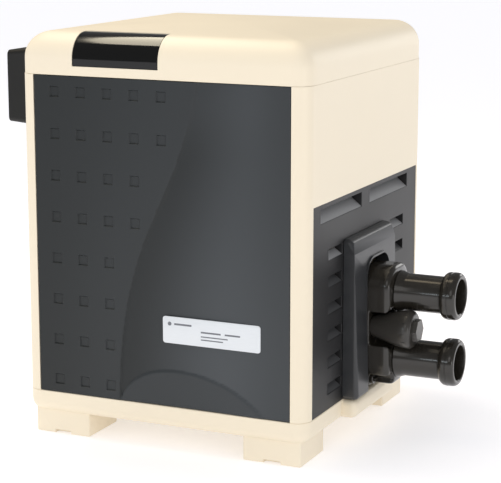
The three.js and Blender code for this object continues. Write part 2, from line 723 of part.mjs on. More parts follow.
function gasValveKnob() {
  const y = BLOWER.y - VALVE.halfY;
  const x = BLOWER.x;
  const z = VALVE.portZ;
  const profile = [[y + 8, 0], [y + 8, 5], [y - 0.5, 5], [y - 0.5, 17], [y - 11, 15], [y - 11, 0]];
  const knob = turned(profile, "y", [x, 0, z], 18);
  return knob.add(block(x - 3, x + 3, y - 20, y - 9, z - 14, z + 14));
}

function gasPipe() {
  const { x, z, outerR, boreR } = GAS_ENTRY;
  const end = REAR_Y + 8.5;
  const valveFace = BLOWER.y + VALVE.halfY + GAP;
  const route = [
    [x, end, z],
    [x, end - 15, z],
    [x, end - 30, z],
    [x - 25, end - 62, z - 4],
    [x - 95, end - 70, z - 8],
    [-85, 190, VALVE.portZ + 2],
    [-122, 160, VALVE.portZ],
    [BLOWER.x, 110, VALVE.portZ],
    [BLOWER.x, valveFace + 30, VALVE.portZ],
    [BLOWER.x, valveFace, VALVE.portZ],
  ];
  return bentPipe(route, outerR, boreR, 16, 6);
}

function gasCap() {
  const { x, z, outerR } = GAS_ENTRY;
  const y = REAR_Y;
  const innerR = outerR + 0.8;
  const profile = [[y + 9.5, 0], [y + 9.5, innerR], [y + 1.5, innerR], [y + 1.5, innerR + 3]];
  profile.push([y + REAR_PROUD, innerR + 3], [y + REAR_PROUD, 0]);
  return turned(profile, "y", [x, 0, z], 12);
}

// ---- electrics ----

function electricsPlate() {
  const upright = block(4, 214, -196, -193.5, 400, 565);
  return upright.add(block(4, 214, -240, -193.5, 400, 402.5));
}

function transformer() {
  const core = block(16, 92, -232, -197, 404, 452);
  return core.add(block(30, 78, -238, -196.8, 410, 446));
}

function ignitionModule() {
  return alongY(roundedRect(106, 204, 412, 556, 5), -226, -196.4, { curveSegments: 2 });
}

function highLimitSwitch() {
  const z = HEADER.top + GAP;
  const profile = [[z, 0], [z, 11], [z + 3, 11], [z + 3, 8], [z + 16, 8], [z + 16, 0]];
  return turned(profile, "z", [HEADER.back + 22, HEADER.y, 0], 16);
}

function pressureSwitch() {
  const y = HEADER.y + HEADER.halfWidth + GAP;
  const profile = [[y, 0], [y, 7], [y + 10, 7], [y + 10, 22], [y + 26, 22], [y + 34, 9], [y + 34, 0]];
  return turned(profile, "y", [HEADER.back + 20, 0, BYPASS.z], 20);
}

function cableGland() {
  const { shankR, nutR, nutHeight } = GLAND;
  const y = REAR_Y;
  const profile = [
    [y - 16, 0],
    [y - 16, shankR],
    [y + GAP, shankR],
    [y + GAP, nutR],
    [y + nutHeight, nutR],
    [y + nutHeight + 2, nutR - 3],
    [y + REAR_PROUD, shankR],
    [y + REAR_PROUD, 0],
  ];
  return turned(profile, "y", [-GAS_ENTRY.x, 0, GAS_ENTRY.z], 16);
}

// ---- control pod ----

// Pieces on the sloping fascia are drawn flat: X across, Y up the slope, Z out of it
const fascia = new THREE.Group();
fascia.position.set((WINDOW.left + WINDOW.right) / 2, FASCIA.y, FASCIA.z);
fascia.rotation.x = Math.PI / 4;
fascia.updateMatrix();

function onFascia(width, height, low, high, x, y) {
  const geometry = new THREE.BoxGeometry(width, height, high - low);
  geometry.translate(x, y, (low + high) / 2);
  geometry.applyMatrix4(fascia.matrix);
  return solid(geometry);
}

function keyX(i) {
  return (i - (KEY.count - 1) / 2) * KEY.pitch;
}

function controlPod() {
  const front = FRONT_Y + SKIN + 0.6;
  const ledge = WINDOW.bottom - 0.5;
  const slopeFootY = FASCIA.y - (FASCIA.z - ledge);
  const wallY = WINDOW_REAR_Y + 0.4;
  const slopeTopZ = FASCIA.z + (wallY - FASCIA.y);
  const t = FASCIA.thickness;
  const bend = t * Math.tan(Math.PI / 8);
  const sheet = outline([
    [front, ledge],
    [slopeFootY, ledge],
    [wallY, slopeTopZ],
    [wallY, HINGE.z + 0.6],
    [wallY + t, HINGE.z + 0.6],
    [wallY + t, slopeTopZ - bend],
    [slopeFootY + bend, ledge - t],
    [front, ledge - t],
  ]);
  const [x0, x1] = [WINDOW.left - GAP, WINDOW.right + GAP];
  let pod = alongX(sheet, x0 - 1, x1 + 1);
  const inside = lidForm(SKIN + 0.4, LID_SEAM - 5);
  for (const [a, b] of [[x0 - t, x0], [x1, x1 + t]]) {
    pod = pod.add(inside.intersect(block(a, b, front, wallY + t, ledge - t, LID_CROWN)));
  }
  const [slotFront, slotRear] = [HINGE.y - HINGE.pinHoleR, HINGE.y + HINGE.pinHoleR];
  const pinSlot = block(x0 - t - 1, x1 + t + 1, slotFront, slotRear, HINGE.z, LID_CROWN);
  pod = pod.subtract(pinSlot);
  pod = pod.subtract(rod("x", [0, HINGE.y, HINGE.z], HINGE.pinHoleR, x0 - t - 1, x1 + t + 1, 16));
  pod = pod.subtract(onFascia(DISPLAY.width + 0.8, DISPLAY.height + 0.8, -20, 20, 0, DISPLAY.above));
  for (let i = 0; i < KEY.count; i += 1) {
    pod = pod.subtract(onFascia(KEY.width + 0.8, KEY.height + 0.8, -20, 20, keyX(i), -KEY.below));
  }
  return pod;
}

function controlDoor() {
  const skin = lidForm(0.3, LID_SEAM).subtract(lidForm(SKIN, LID_SEAM - 5));
  let door = skin.intersect(windowBlock(1, HINGE.y - 0.5, WINDOW.bottom + 1));
  const [x0, x1] = [WINDOW.left + 1, WINDOW.right - 1];
  door = door.add(rod("x", [0, HINGE.y, HINGE.z], HINGE.barrelR, x0, x1, 20));
  for (const [a, b] of [[x0 - 1, x0 + 13], [x1 - 13, x1 + 1]]) {
    door = door.subtract(rod("x", [0, HINGE.y, HINGE.z], HINGE.pinHoleR, a, b, 16));
  }
  return door;
}

function hingePin(sign) {
  const edge = sign < 0 ? WINDOW.left : WINDOW.right;
  const [inner, outer] = [edge - sign * 12, edge + sign * 3];
  return rod("x", [0, HINGE.y, HINGE.z], HINGE.pinR, Math.min(inner, outer), Math.max(inner, outer), 12);
}

function keyCap() {
  const back = -FASCIA.thickness - 0.5;
  const cap = new THREE.BoxGeometry(KEY.width, KEY.height, KEY.proud - back);
  cap.translate(0, 0, (KEY.proud + back) / 2);
  const flange = new THREE.BoxGeometry(KEY.width + 3, KEY.height + 3, KEY.flange);
  flange.translate(0, 0, back - KEY.flange / 2 + 0.1);
  return solid(cap).add(solid(flange));
}

// ---- finishes ----

function finish(color, roughness, metalness = 0) {
  return new THREE.MeshStandardMaterial({ color, roughness, metalness });
}

const cream = () => finish(0xf3e9d6, 0.45);
const charcoal = () => finish(0x3a3f43, 0.5);
const grilleGrey = () => finish(0x3c3c3e, 0.6);
const pipeBlack = () => finish(0x16171a, 0.3);
const smoked = () => finish(0x0a0b0a, 0.1);
const steel = () => finish(0xb4b8bc, 0.35, 0.9);
const zinc = () => finish(0x9a9da0, 0.45, 0.8);
const copper = () => finish(0xb87350, 0.35, 0.9);
const aluminium = () => finish(0xc8cacc, 0.4, 0.9);
const brass = () => finish(0xb89b55, 0.35, 0.9);
const rubber = () => finish(0x1a1a1a, 0.8);
const keyGrey = () => finish(0x8e9194, 0.5);
const plateSilver = () => finish(0xeaeef1, 0.35);
const boardGreen = () => finish(0x2c5a3c, 0.6);
const enamelGrey = () => finish(0x6f7478, 0.5);

// ---- assembly ----

const heater = new THREE.Group();
heater.position.set(-CENTRE_X, -CENTRE_Y, 0);
heater.add(fascia);

function add(name, body, material, group = heater) {
  const mesh = new THREE.Mesh(surface(body), material);
  mesh.name = name;
  group.add(mesh);
  return mesh;
}

add("base_pan", basePan(), cream());
add("casing_left", leftCasing(), cream());
add("casing_right", rightCasing(), cream());
add("rear_panel", rearPanel(), cream());
add("front_panel", frontPanel(), charcoal());
add("name_plate", namePlate(), plateSilver());
add("side_grille", sideGrille(), grilleGrey());
add("lid", lid(), cream());
REAR_SCREWS.forEach(([x, z], i) => {
  const screw = add(`rear_screw_${i + 1}`, rearScrew(), steel());
  screw.position.set(x, 0, z);
});

add("manifold_surround", manifoldSurround(), grilleGrey());
add("manifold_header", manifoldHeader(), pipeBlack());
add("water_inlet_pipe", waterPipe(INLET_Z), pipeBlack());
add("water_outlet_pipe", waterPipe(OUTLET_Z), pipeBlack());
add("inlet_gasket", pipeGasket(INLET_Z), rubber());
add("outlet_gasket", pipeGasket(OUTLET_Z), rubber());
add("bypass_bonnet", bypassBonnet(), pipeBlack());
add("bypass_plunger", bypassPlunger(), brass());
add("bypass_spring", bypassSpring(), steel());
add("drain_plug", drainPlug(), pipeBlack());

add("exhaust_hood", exhaustHood(), charcoal());
add("hood_screen", hoodScreen(), charcoal());
add("flue_duct", flueDuct(), zinc());
add("combustion_chamber", combustionChamber(), steel());
add("chamber_stand", chamberStand(), zinc());
add("chamber_lid", chamberLid(), steel());
add("heat_exchanger_coil", heatExchangerCoil(), copper());
add("tube_sheet", tubeSheet(), copper());
add("burner", burner(), steel());
add("igniter", igniter(), keyGrey());
add("blower_housing", blowerHousing(), aluminium());
add("blower_impeller", blowerImpeller(), aluminium());
add("blower_shaft", blowerShaft(), steel());
add("blower_motor", blowerMotor(), enamelGrey());
add("air_gas_mixer", airGasMixer(), aluminium());
add("gas_nozzle", gasNozzle(), brass());
add("gas_valve", gasValve(), aluminium());
add("gas_valve_knob", gasValveKnob(), rubber());
add("gas_pipe", gasPipe(), zinc());
add("gas_cap", gasCap(), zinc());

add("electrics_plate", electricsPlate(), zinc());
add("transformer", transformer(), enamelGrey());
add("ignition_module", ignitionModule(), charcoal());
add("high_limit_switch", highLimitSwitch(), brass());
add("pressure_switch", pressureSwitch(), keyGrey());
add("cable_gland", cableGland(), rubber());

add("control_pod", controlPod(), charcoal());
add("control_door", controlDoor(), smoked());
add("hinge_pin_left", hingePin(-1), steel());
add("hinge_pin_right", hingePin(1), steel());

function flatOnFascia(width, height, low, high) {
  const geometry = new THREE.BoxGeometry(width, height, high - low);
  geometry.translate(0, 0, (low + high) / 2);
  return solid(geometry);
}

const display = add("display_window", flatOnFascia(DISPLAY.width, DISPLAY.height, -3, 0.4), smoked(), fascia);
display.position.y = DISPLAY.above;
add("control_board", flatOnFascia(136, 36, -12, -10.4), boardGreen(), fascia);
for (let i = 0; i < KEY.count; i += 1) {
  const key = add(`key_${i + 1}`, keyCap(), keyGrey(), fascia);
  key.position.set(keyX(i), -KEY.below, 0);
}

export default heater;
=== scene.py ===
"""Looks for a gas-fired pool and spa heater: a cream moulded cabinet on a footed pan, a charcoal front cover
with a swept hollow, a louvred side panel, a glossy black water manifold and a black flue hood."""
import math

import bmesh
import bpy
from mathutils import Matrix, Vector


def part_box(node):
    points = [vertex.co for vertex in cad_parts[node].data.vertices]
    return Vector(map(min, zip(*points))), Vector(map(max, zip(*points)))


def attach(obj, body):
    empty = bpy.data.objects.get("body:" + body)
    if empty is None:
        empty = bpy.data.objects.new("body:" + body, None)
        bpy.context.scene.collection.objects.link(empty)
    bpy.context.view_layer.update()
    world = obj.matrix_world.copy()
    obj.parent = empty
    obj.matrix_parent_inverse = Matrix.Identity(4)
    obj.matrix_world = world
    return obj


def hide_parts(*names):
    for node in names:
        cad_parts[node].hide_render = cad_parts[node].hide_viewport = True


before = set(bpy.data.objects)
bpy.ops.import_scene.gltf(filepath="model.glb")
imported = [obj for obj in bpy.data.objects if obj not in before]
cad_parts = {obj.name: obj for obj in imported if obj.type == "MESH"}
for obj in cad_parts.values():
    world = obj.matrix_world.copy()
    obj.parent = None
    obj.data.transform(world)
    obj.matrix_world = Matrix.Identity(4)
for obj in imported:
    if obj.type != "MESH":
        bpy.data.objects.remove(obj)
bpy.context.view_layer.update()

# ------------------------------------------------------------
# Camera: a long lens a little to the right of the front and slightly above, level with the horizon.
CAMERA_PLACE = Vector((1.1787, -2.616, 0.8724))
CAMERA_HEADING = math.radians(24.52)
CAMERA_DROP = math.radians(11.42)
CAMERA_LENS = 125.4
SENSOR_WIDTH = 36.0

lens = bpy.data.cameras.new("studio_camera")
lens.lens = CAMERA_LENS
lens.sensor_width = SENSOR_WIDTH
camera = bpy.data.objects.new("studio_camera", lens)
camera.location = CAMERA_PLACE
camera.rotation_euler = (math.pi / 2 - CAMERA_DROP, 0.0, CAMERA_HEADING)
bpy.context.scene.collection.objects.link(camera)
bpy.context.scene.camera = camera


# ------------------------------------------------------------
# Studio: a pale floor, a narrow softbox over the lid, a small light and a thin strip for the manifold, a
# broad front key, and weak lights from the right, the rear and the left. The air is dimmer in reflections.
def softbox(name, place, target, width, height, watts, colour):
    data = bpy.data.lights.new(name, "AREA")
    data.shape = "RECTANGLE"
    data.size = width
    data.size_y = height
    data.energy = watts
    data.color = colour
    lamp = bpy.data.objects.new(name, data)
    lamp.location = place
    lamp.rotation_euler = (Vector(target) - Vector(place)).to_track_quat("-Z", "Y").to_euler()
    bpy.context.scene.collection.objects.link(lamp)


softbox("overhead_softbox", (-0.86, 0.08, 2.1), (-0.86, 0.081, 0.6), 0.30, 1.6, 14, (1.0, 0.90, 0.70))
softbox("manifold_toplight", (-0.27, -0.1, 2.1), (-0.2, -0.1, 0.3), 0.35, 0.9, 3, (1.0, 0.83, 0.58))
softbox("manifold_strip", (-0.69, -3.15, 0.88), (0.3, 0.0, 0.25), 0.9, 0.16, 4, (0.86, 0.95, 1.0))
softbox("front_key", (0.9, -3.4, 1.9), (0.0, 0.0, 0.3), 1.8, 1.6, 9, (1.0, 0.985, 0.96))
softbox("right_fill", (3.0, -1.5, 0.42), (0.0, -0.2, 0.3), 0.9, 0.6, 6, (1.0, 0.98, 0.95))
softbox("rear_rim", (1.1, 2.9, 1.0), (0.25, 0.0, 0.35), 1.2, 1.0, 9, (1.0, 0.99, 0.97))
softbox("left_gloss", (-2.9, -2.2, 0.7), (0.0, -0.2, 0.3), 1.2, 1.0, 2, (0.97, 0.985, 1.0))

AIR_DIFFUSE = 0.80
AIR_GLOSSY = 0.20
world = bpy.data.worlds.new("studio_air")
world.use_nodes = True
air = world.node_tree.nodes["Background"]
air.inputs["Color"].default_value = (0.98, 0.985, 1.0, 1.0)
ray = world.node_tree.nodes.new("ShaderNodeLightPath")
air_strength = world.node_tree.nodes.new("ShaderNodeMapRange")
air_strength.inputs["To Min"].default_value = AIR_DIFFUSE
air_strength.inputs["To Max"].default_value = AIR_GLOSSY
world.node_tree.links.new(ray.outputs["Is Glossy Ray"], air_strength.inputs["Value"])
world.node_tree.links.new(air_strength.outputs["Result"], air.inputs["Strength"])
bpy.context.scene.world = world
bpy.context.scene.view_settings.view_transform = "Standard"

FLOOR_REACH = 24.0
FLOOR_GLOW = 0.34
floor_bm = bmesh.new()
bmesh.ops.create_grid(floor_bm, x_segments=8, y_segments=8, size=FLOOR_REACH)
floor_mesh = bpy.data.meshes.new("studio_floor")
floor_bm.to_mesh(floor_mesh)
floor_bm.free()
studio_floor = bpy.data.objects.new("studio_floor", floor_mesh)
bpy.context.scene.collection.objects.link(studio_floor)
floor_paint = bpy.data.materials.new("floor_paint")
floor_paint.use_nodes = True
floor_shader = floor_paint.node_tree.nodes["Principled BSDF"]
floor_shader.inputs["Base Color"].default_value = (0.86, 0.85, 0.88, 1.0)
floor_shader.inputs["Emission Color"].default_value = (1.0, 1.0, 1.0, 1.0)
floor_shader.inputs["Emission Strength"].default_value = FLOOR_GLOW
floor_shader.inputs["Roughness"].default_value = 0.7
floor_shader.inputs["Specular IOR Level"].default_value = 0.1
floor_mesh.materials.append(floor_paint)

# ------------------------------------------------------------
# Lid: a deep-drawn cream plastic cap with big rounded edges and a slightly crowned top. It is a 3 mm shell,
# open below, with a window cut in its front edge for the controls.
LID_LOW, LID_HIGH = (Vector(corner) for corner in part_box("lid"))
MIDDLE = (LID_LOW + LID_HIGH) / 2
HALF_WIDTH = (LID_HIGH.x - LID_LOW.x) / 2
HALF_DEPTH = (LID_HIGH.y - LID_LOW.y) / 2
CORNER_RADIUS = 0.026
LID_EDGE_RADIUS = 0.041
LID_SHOULDER = LID_LOW.z + 0.025
LID_CROWN_RISE = 0.008
LID_SQUARENESS = 3.2
LID_ARC_STEPS = 12
LID_ARC_END = math.radians(84)
SKIN = 0.003
WINDOW_LEFT = MIDDLE.x - 0.150
WINDOW_RIGHT = MIDDLE.x
WINDOW_BOTTOM = LID_LOW.z + 0.0145
WINDOW_REAR = LID_LOW.y + 0.047
CREAM = (0.86, 0.765, 0.60)


def rounded_ring(half_x, half_y, radius, z, power=2.0, per_corner=9, per_side=5):
    """Corner points of a rounded rectangle about the cabinet's middle; a higher power squares the corner."""
    ring = []
    spans = ((1, 1, 0), (-1, 1, 1), (-1, -1, 2), (1, -1, 3))
    for sign_x, sign_y, quarter in spans:
        arc = []
        for step in range(per_corner + 1):
            angle = math.pi / 2 * (quarter + step / per_corner)
            along_x = math.copysign(abs(math.cos(angle)) ** (2 / power), math.cos(angle))
            along_y = math.copysign(abs(math.sin(angle)) ** (2 / power), math.sin(angle))
            x = sign_x * (half_x - radius) + radius * along_x
            y = sign_y * (half_y - radius) + radius * along_y
            arc.append(Vector((MIDDLE.x + x, MIDDLE.y + y, z)))
        if ring:
            start = ring[-1]
            ring += [start.lerp(arc[0], k / per_side) for k in range(1, per_side)]
        ring += arc
    start = ring[-1]
    ring += [start.lerp(ring[0], k / per_side) for k in range(1, per_side)]
    return ring


def loop_of(bm, points):
    verts = [bm.verts.new(point) for point in points]
    return [bm.edges.new((verts[k], verts[(k + 1) % len(verts)])) for k in range(len(verts))]


def loft(bm, rings, close_start=False, close_end=False):
    """Bridges closed rings of equal length one after another, and caps the ends if asked."""
    loops = [loop_of(bm, ring) for ring in rings]
    for near, far in zip(loops, loops[1:]):
        bmesh.ops.bridge_loops(bm, edges=near + far)
    if close_start:
        bmesh.ops.edgeloop_fill(bm, edges=loops[0])
    if close_end:
        bmesh.ops.edgeloop_fill(bm, edges=loops[-1])
    bmesh.ops.recalc_face_normals(bm, faces=bm.faces)
    return loops


def shade(mesh, sharp_degrees=32):
    """Smooth shading, broken at edges that turn more than the given angle."""
    bm = bmesh.new()
    bm.from_mesh(mesh)
    limit = math.radians(sharp_degrees)
    for face in bm.faces:
        face.smooth = True
    for edge in bm.edges:
        edge.smooth = len(edge.link_faces) == 2 and edge.calc_face_angle(0.0) < limit
    bm.to_mesh(mesh)
    bm.free()


def make(name, bm, material=None):
    mesh = bpy.data.meshes.new(name)
    bm.to_mesh(mesh)
    bm.free()
    shade(mesh)
    piece = bpy.data.objects.new(name, mesh)
    bpy.context.scene.collection.objects.link(piece)
    if material:
        mesh.materials.append(material)
    return piece


def settle(piece):
    """Replaces a piece's mesh by what its modifiers make of it."""
    graph = bpy.context.evaluated_depsgraph_get()
    graph.update()
    finished = bpy.data.meshes.new_from_object(piece.evaluated_get(graph))
    piece.modifiers.clear()
    piece.data = finished
    shade(finished)


def combine(piece, other, operation="DIFFERENCE"):
    """Cuts another object out of a piece, or joins it on, and removes the other."""
    change = piece.modifiers.new("combine", "BOOLEAN")
    change.operation = operation
    change.solver = "EXACT"
    change.object = other
    settle(piece)
    bpy.data.objects.remove(other)


def soften(piece, width, segments=2, degrees=40):
    bevel = piece.modifiers.new("soften", "BEVEL")
    bevel.width = width
    bevel.segments = segments
    bevel.limit_method = "ANGLE"
    bevel.angle_limit = math.radians(degrees)
    settle(piece)
    level = piece.modifiers.new("level_shading", "WEIGHTED_NORMAL")
    level.keep_sharp = True


def dress(piece, material):
    piece.data.materials.clear()
    piece.data.materials.append(material)


def add_block(bm, low, high):
    """Adds a box between two corners, and gives back its points."""
    verts = bmesh.ops.create_cube(bm, size=1.0)["verts"]
    size = Vector(high) - Vector(low)
    bmesh.ops.scale(bm, vec=size, verts=verts)
    bmesh.ops.translate(bm, vec=Vector(low) + size / 2, verts=verts)
    return verts


def round_edges(bm, edges, radius, segments):
    bmesh.ops.bevel(bm, geom=edges, offset=radius, segments=segments, profile=0.5, affect="EDGES",
                    material=-1)


def slab(name, low, high, radius=0.0, segments=3):
    """A block between two corners, with all its edges rounded if a radius is given."""
    bm = bmesh.new()
    add_block(bm, low, high)
    if radius > 0:
        round_edges(bm, bm.edges[:], radius, segments)
    return make(name, bm)


class Finish:
    """A node material under way: one noise after another drives its colour, its gloss and its bump."""

    def __init__(self, name):
        self.material = bpy.data.materials.new(name)
        self.material.use_nodes = True
        self.nodes = self.material.node_tree.nodes
        self.shader = self.nodes["Principled BSDF"]
        self.place = self.nodes.new("ShaderNodeTexCoord").outputs["Object"]

    def link(self, output, socket):
        self.material.node_tree.links.new(output, socket)

    def stretch(self, scale):
        mapping = self.nodes.new("ShaderNodeMapping")
        mapping.inputs["Scale"].default_value = scale
        self.link(self.place, mapping.inputs["Vector"])
        self.place = mapping.outputs["Vector"]

    def noise(self, scale, detail):
        texture = self.nodes.new("ShaderNodeTexNoise")
        texture.inputs["Scale"].default_value = scale
        texture.inputs["Detail"].default_value = detail
        self.link(self.place, texture.inputs["Vector"])
        return texture.outputs["Fac"]

    def tint(self, factor, colour, darker, paler):
        mix = self.nodes.new("ShaderNodeMix")
        mix.data_type = "RGBA"
        mix.inputs["A"].default_value = (*[c * darker for c in colour], 1.0)
        mix.inputs["B"].default_value = (*[min(1.0, c * paler) for c in colour], 1.0)
        self.link(factor, mix.inputs["Factor"])
        self.link(mix.outputs["Result"], self.shader.inputs["Base Color"])

    def gloss(self, factor, low, high):
        spread = self.nodes.new("ShaderNodeMapRange")
        spread.inputs["To Min"].default_value = low
        spread.inputs["To Max"].default_value = high
        self.link(factor, spread.inputs["Value"])
        self.link(spread.outputs["Result"], self.shader.inputs["Roughness"])

    def bump(self, height, strength, distance):
        relief = self.nodes.new("ShaderNodeBump")
        relief.inputs["Strength"].default_value = strength
        relief.inputs["Distance"].default_value = distance
        self.link(height, relief.inputs["Height"])
        self.link(relief.outputs["Normal"], self.shader.inputs["Normal"])


def plastic(name, colour, roughness, mottle=0.04, grain=0.00025, coat=0.0):
    """Moulded plastic: a faint mottled colour, uneven gloss and a fine moulded grain."""
    finish = Finish(name)
    cloud = finish.noise(7.0, 4.0)
    finish.tint(cloud, colour, 1 - mottle, 1 + mottle)
    finish.gloss(cloud, roughness * 0.88, roughness * 1.14)
    finish.bump(finish.noise(900.0, 2.0), 0.35, grain)
    if coat > 0:
        finish.shader.inputs["Coat Weight"].default_value = coat
        finish.shader.inputs["Coat Roughness"].default_value = 0.06
    return finish.material


cream_plastic = plastic("cream_plastic", CREAM, 0.42, mottle=0.02)


def lid_surface(name, inset, bottom):
    """The lid's outer form as a closed solid, drawn in by an inset."""
    rings = [rounded_ring(HALF_WIDTH - inset, HALF_DEPTH - inset, LID_EDGE_RADIUS - inset, bottom,
                          LID_SQUARENESS)]
    reach = LID_EDGE_RADIUS - inset
    for step in range(LID_ARC_STEPS + 1):
        angle = LID_ARC_END * step / LID_ARC_STEPS
        radius = max(reach * math.cos(angle), 1e-5)
        z = LID_SHOULDER + reach * math.sin(angle)
        half_x = HALF_WIDTH - LID_EDGE_RADIUS + radius
        half_y = HALF_DEPTH - LID_EDGE_RADIUS + radius
        rings.append(rounded_ring(half_x, half_y, radius, z, LID_SQUARENESS))
    arc_top = rings[-1]
    for share in (0.93, 0.8, 0.64, 0.46, 0.26, 0.08):
        z = arc_top[0].z + LID_CROWN_RISE * (1 - share ** 2)
        rings.append([Vector((MIDDLE.x + (point.x - MIDDLE.x) * share,
                              MIDDLE.y + (point.y - MIDDLE.y) * share, z)) for point in arc_top])
    bm = bmesh.new()
    loft(bm, rings, close_start=True, close_end=True)
    return make(name, bm)


lid_shell = lid_surface("lid_shell", 0.0, LID_LOW.z)
combine(lid_shell, lid_surface("lid_inside", SKIN, LID_LOW.z - 0.01))
combine(lid_shell, slab("window_cut", (WINDOW_LEFT, LID_LOW.y - 0.01, WINDOW_BOTTOM),
                        (WINDOW_RIGHT, WINDOW_REAR, LID_HIGH.z + 0.01)))
dress(lid_shell, cream_plastic)
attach(lid_shell, "cabinet")
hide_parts("lid")

# ------------------------------------------------------------
# Jacket: two cream plastic casings, each a side wall with the front and rear corners folded round. They
# stand on the pan, tuck under the lid, and the right one is notched for the louvred panel.
JACKET_LOW, JACKET_HIGH = (Vector(corner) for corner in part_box("casing_left"))
POST_INNER_X = JACKET_HIGH.x
GRILLE_LOW, GRILLE_HIGH = (Vector(corner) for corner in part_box("side_grille"))
SEAM = 0.0003


def jacket_block(name, inset, low, high):
    rings = []
    for z in (low, high):
        rings.append(rounded_ring(HALF_WIDTH - inset, HALF_DEPTH - inset, CORNER_RADIUS - inset, z))
    bm = bmesh.new()
    loft(bm, rings, close_start=True, close_end=True)
    return make(name, bm)


def casing(name, sign):
    shell = jacket_block(name, 0.0, JACKET_LOW.z, JACKET_HIGH.z)
    combine(shell, jacket_block("jacket_inside", SKIN, JACKET_LOW.z - 0.01, JACKET_HIGH.z + 0.01))
    inner = MIDDLE.x + sign * (MIDDLE.x - POST_INNER_X)
    outer = MIDDLE.x + sign * (HALF_WIDTH + 0.01)
    keep = slab("jacket_half", (min(inner, outer), LID_LOW.y - 0.01, 0.0),
                (max(inner, outer), LID_HIGH.y + 0.01, 1.0))
    combine(shell, keep, "INTERSECT")
    return shell


left_casing = casing("left_casing", -1)
right_casing = casing("right_casing", 1)
combine(right_casing, slab("grille_notch", (GRILLE_LOW.x - 0.01, GRILLE_LOW.y - SEAM, 0.0),
                           (GRILLE_HIGH.x + 0.02, GRILLE_HIGH.y + SEAM, GRILLE_HIGH.z + SEAM)))
for shell, node in ((left_casing, "casing_left"), (right_casing, "casing_right")):
    soften(shell, 0.0008, 2)
    dress(shell, cream_plastic)
    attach(shell, "cabinet")
    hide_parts(node)

# ------------------------------------------------------------
# Pan: one moulded cream tray with its lower edge rolled in, four block feet, the front two notched for
# hold-down clips, and a scooped shelf on the right that carries the manifold surround.
PAN_LOW, PAN_HIGH = (Vector(corner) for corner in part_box("base_pan"))
FOOT_HEIGHT = 0.038
FOOT_WIDTH = 0.098
FOOT_DEPTH = 0.093
FOOT_OUTER = HALF_WIDTH - 0.012
FRONT_FOOT_Y = PAN_LOW.y + 0.0105
REAR_FOOT_Y = MIDDLE.y + 0.112
ROLL = 0.015
SHELF_FRONT = MIDDLE.y - 0.108
SHELF_REAR = MIDDLE.y + 0.077
ROLL_HEIGHT = 0.018
PAN_WALL = 0.02
CLIP_HALF = 0.015
CLIP_REACH = 0.012
CLIP_HEIGHT = 0.006
SCOOP_SHAPE = (0.022, 0.065, 0.025)
SCOOP_PLACE = Vector((PAN_HIGH.x + 0.013, MIDDLE.y + 0.006, PAN_HIGH.z + 0.012))

pan_rings = [rounded_ring(HALF_WIDTH - 0.001, HALF_DEPTH - 0.001, CORNER_RADIUS - 0.001, PAN_HIGH.z),
             rounded_ring(HALF_WIDTH, HALF_DEPTH, CORNER_RADIUS, PAN_HIGH.z - 0.001)]
for step in range(7):
    angle = math.pi / 2 * step / 6
    inset = ROLL * (1 - math.cos(angle))
    z = FOOT_HEIGHT + ROLL_HEIGHT * (1 - math.sin(angle))
    pan_rings.append(rounded_ring(HALF_WIDTH - inset, HALF_DEPTH - inset, CORNER_RADIUS - inset, z))
pan_bm = bmesh.new()
loft(pan_bm, pan_rings, close_start=True, close_end=True)
footed_pan = make("footed_pan", pan_bm)
inner_x = HALF_WIDTH - PAN_WALL
combine(footed_pan, slab("pan_hollow", (MIDDLE.x - inner_x, PAN_LOW.y + PAN_WALL, FOOT_HEIGHT + 0.008),
                         (MIDDLE.x + inner_x, PAN_HIGH.y - PAN_WALL, PAN_HIGH.z + 0.01), 0.004))
for outer_x in (MIDDLE.x - FOOT_OUTER, MIDDLE.x + FOOT_OUTER - FOOT_WIDTH):
    for front_y in (FRONT_FOOT_Y, REAR_FOOT_Y):
        foot = slab("foot", (outer_x, front_y, 0.0),
                    (outer_x + FOOT_WIDTH, front_y + FOOT_DEPTH, FOOT_HEIGHT + 0.006), 0.0025, 3)
        if front_y == FRONT_FOOT_Y:
            middle = outer_x + FOOT_WIDTH / 2
            combine(foot, slab("clip_notch", (middle - CLIP_HALF, front_y - 0.01, -0.01),
                               (middle + CLIP_HALF, front_y + CLIP_REACH, CLIP_HEIGHT), 0.0015, 2))
        combine(footed_pan, foot, "UNION")
shelf = slab("shelf", (MIDDLE.x + HALF_WIDTH - 0.03, SHELF_FRONT, FOOT_HEIGHT + 0.004),
             (PAN_HIGH.x, SHELF_REAR, PAN_HIGH.z - 0.0003), 0.011, 5)
combine(footed_pan, shelf, "UNION")
scoop_bm = bmesh.new()
bmesh.ops.create_uvsphere(scoop_bm, u_segments=40, v_segments=20, radius=1.0)
bmesh.ops.scale(scoop_bm, vec=SCOOP_SHAPE, verts=scoop_bm.verts)
bmesh.ops.translate(scoop_bm, vec=SCOOP_PLACE, verts=scoop_bm.verts)
combine(footed_pan, make("scoop", scoop_bm))
dress(footed_pan, cream_plastic)
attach(footed_pan, "cabinet")
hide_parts("base_pan")

# ------------------------------------------------------------
# Front cover: a charcoal moulded door panel. Small square pockets fill its flat left part, an S-shaped step
# drops into a gently dished right part, and a low hill rises along the bottom.
COVER_LOW, COVER_HIGH = (Vector(corner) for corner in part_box("front_panel"))
COVER_GAP = 0.0010
POCKET_SIZE = 0.017
POCKET_DEPTH = 0.0022
POCKET_PITCH_X = 0.047
POCKET_PITCH_Z = 0.0666
POCKET_FIRST = Vector((MIDDLE.x - 0.184, 0.0, 0.562))
POCKETS_PER_ROW = (5, 5, 4, 4, 3, 3, 3, 3)
STEP_WIDTH = 0.0035
STEP_DEPTH = 0.0026
DISH_DEPTH = 0.0022
HILL_HEIGHT = 0.0018
SWEEP_UPPER = ((0.065, 0.588), (0.055, 0.530), (0.040, 0.480), (0.008, 0.412))
SWEEP_LOWER = ((0.008, 0.412), (-0.035, 0.325), (-0.072, 0.240), (-0.0745, 0.073))
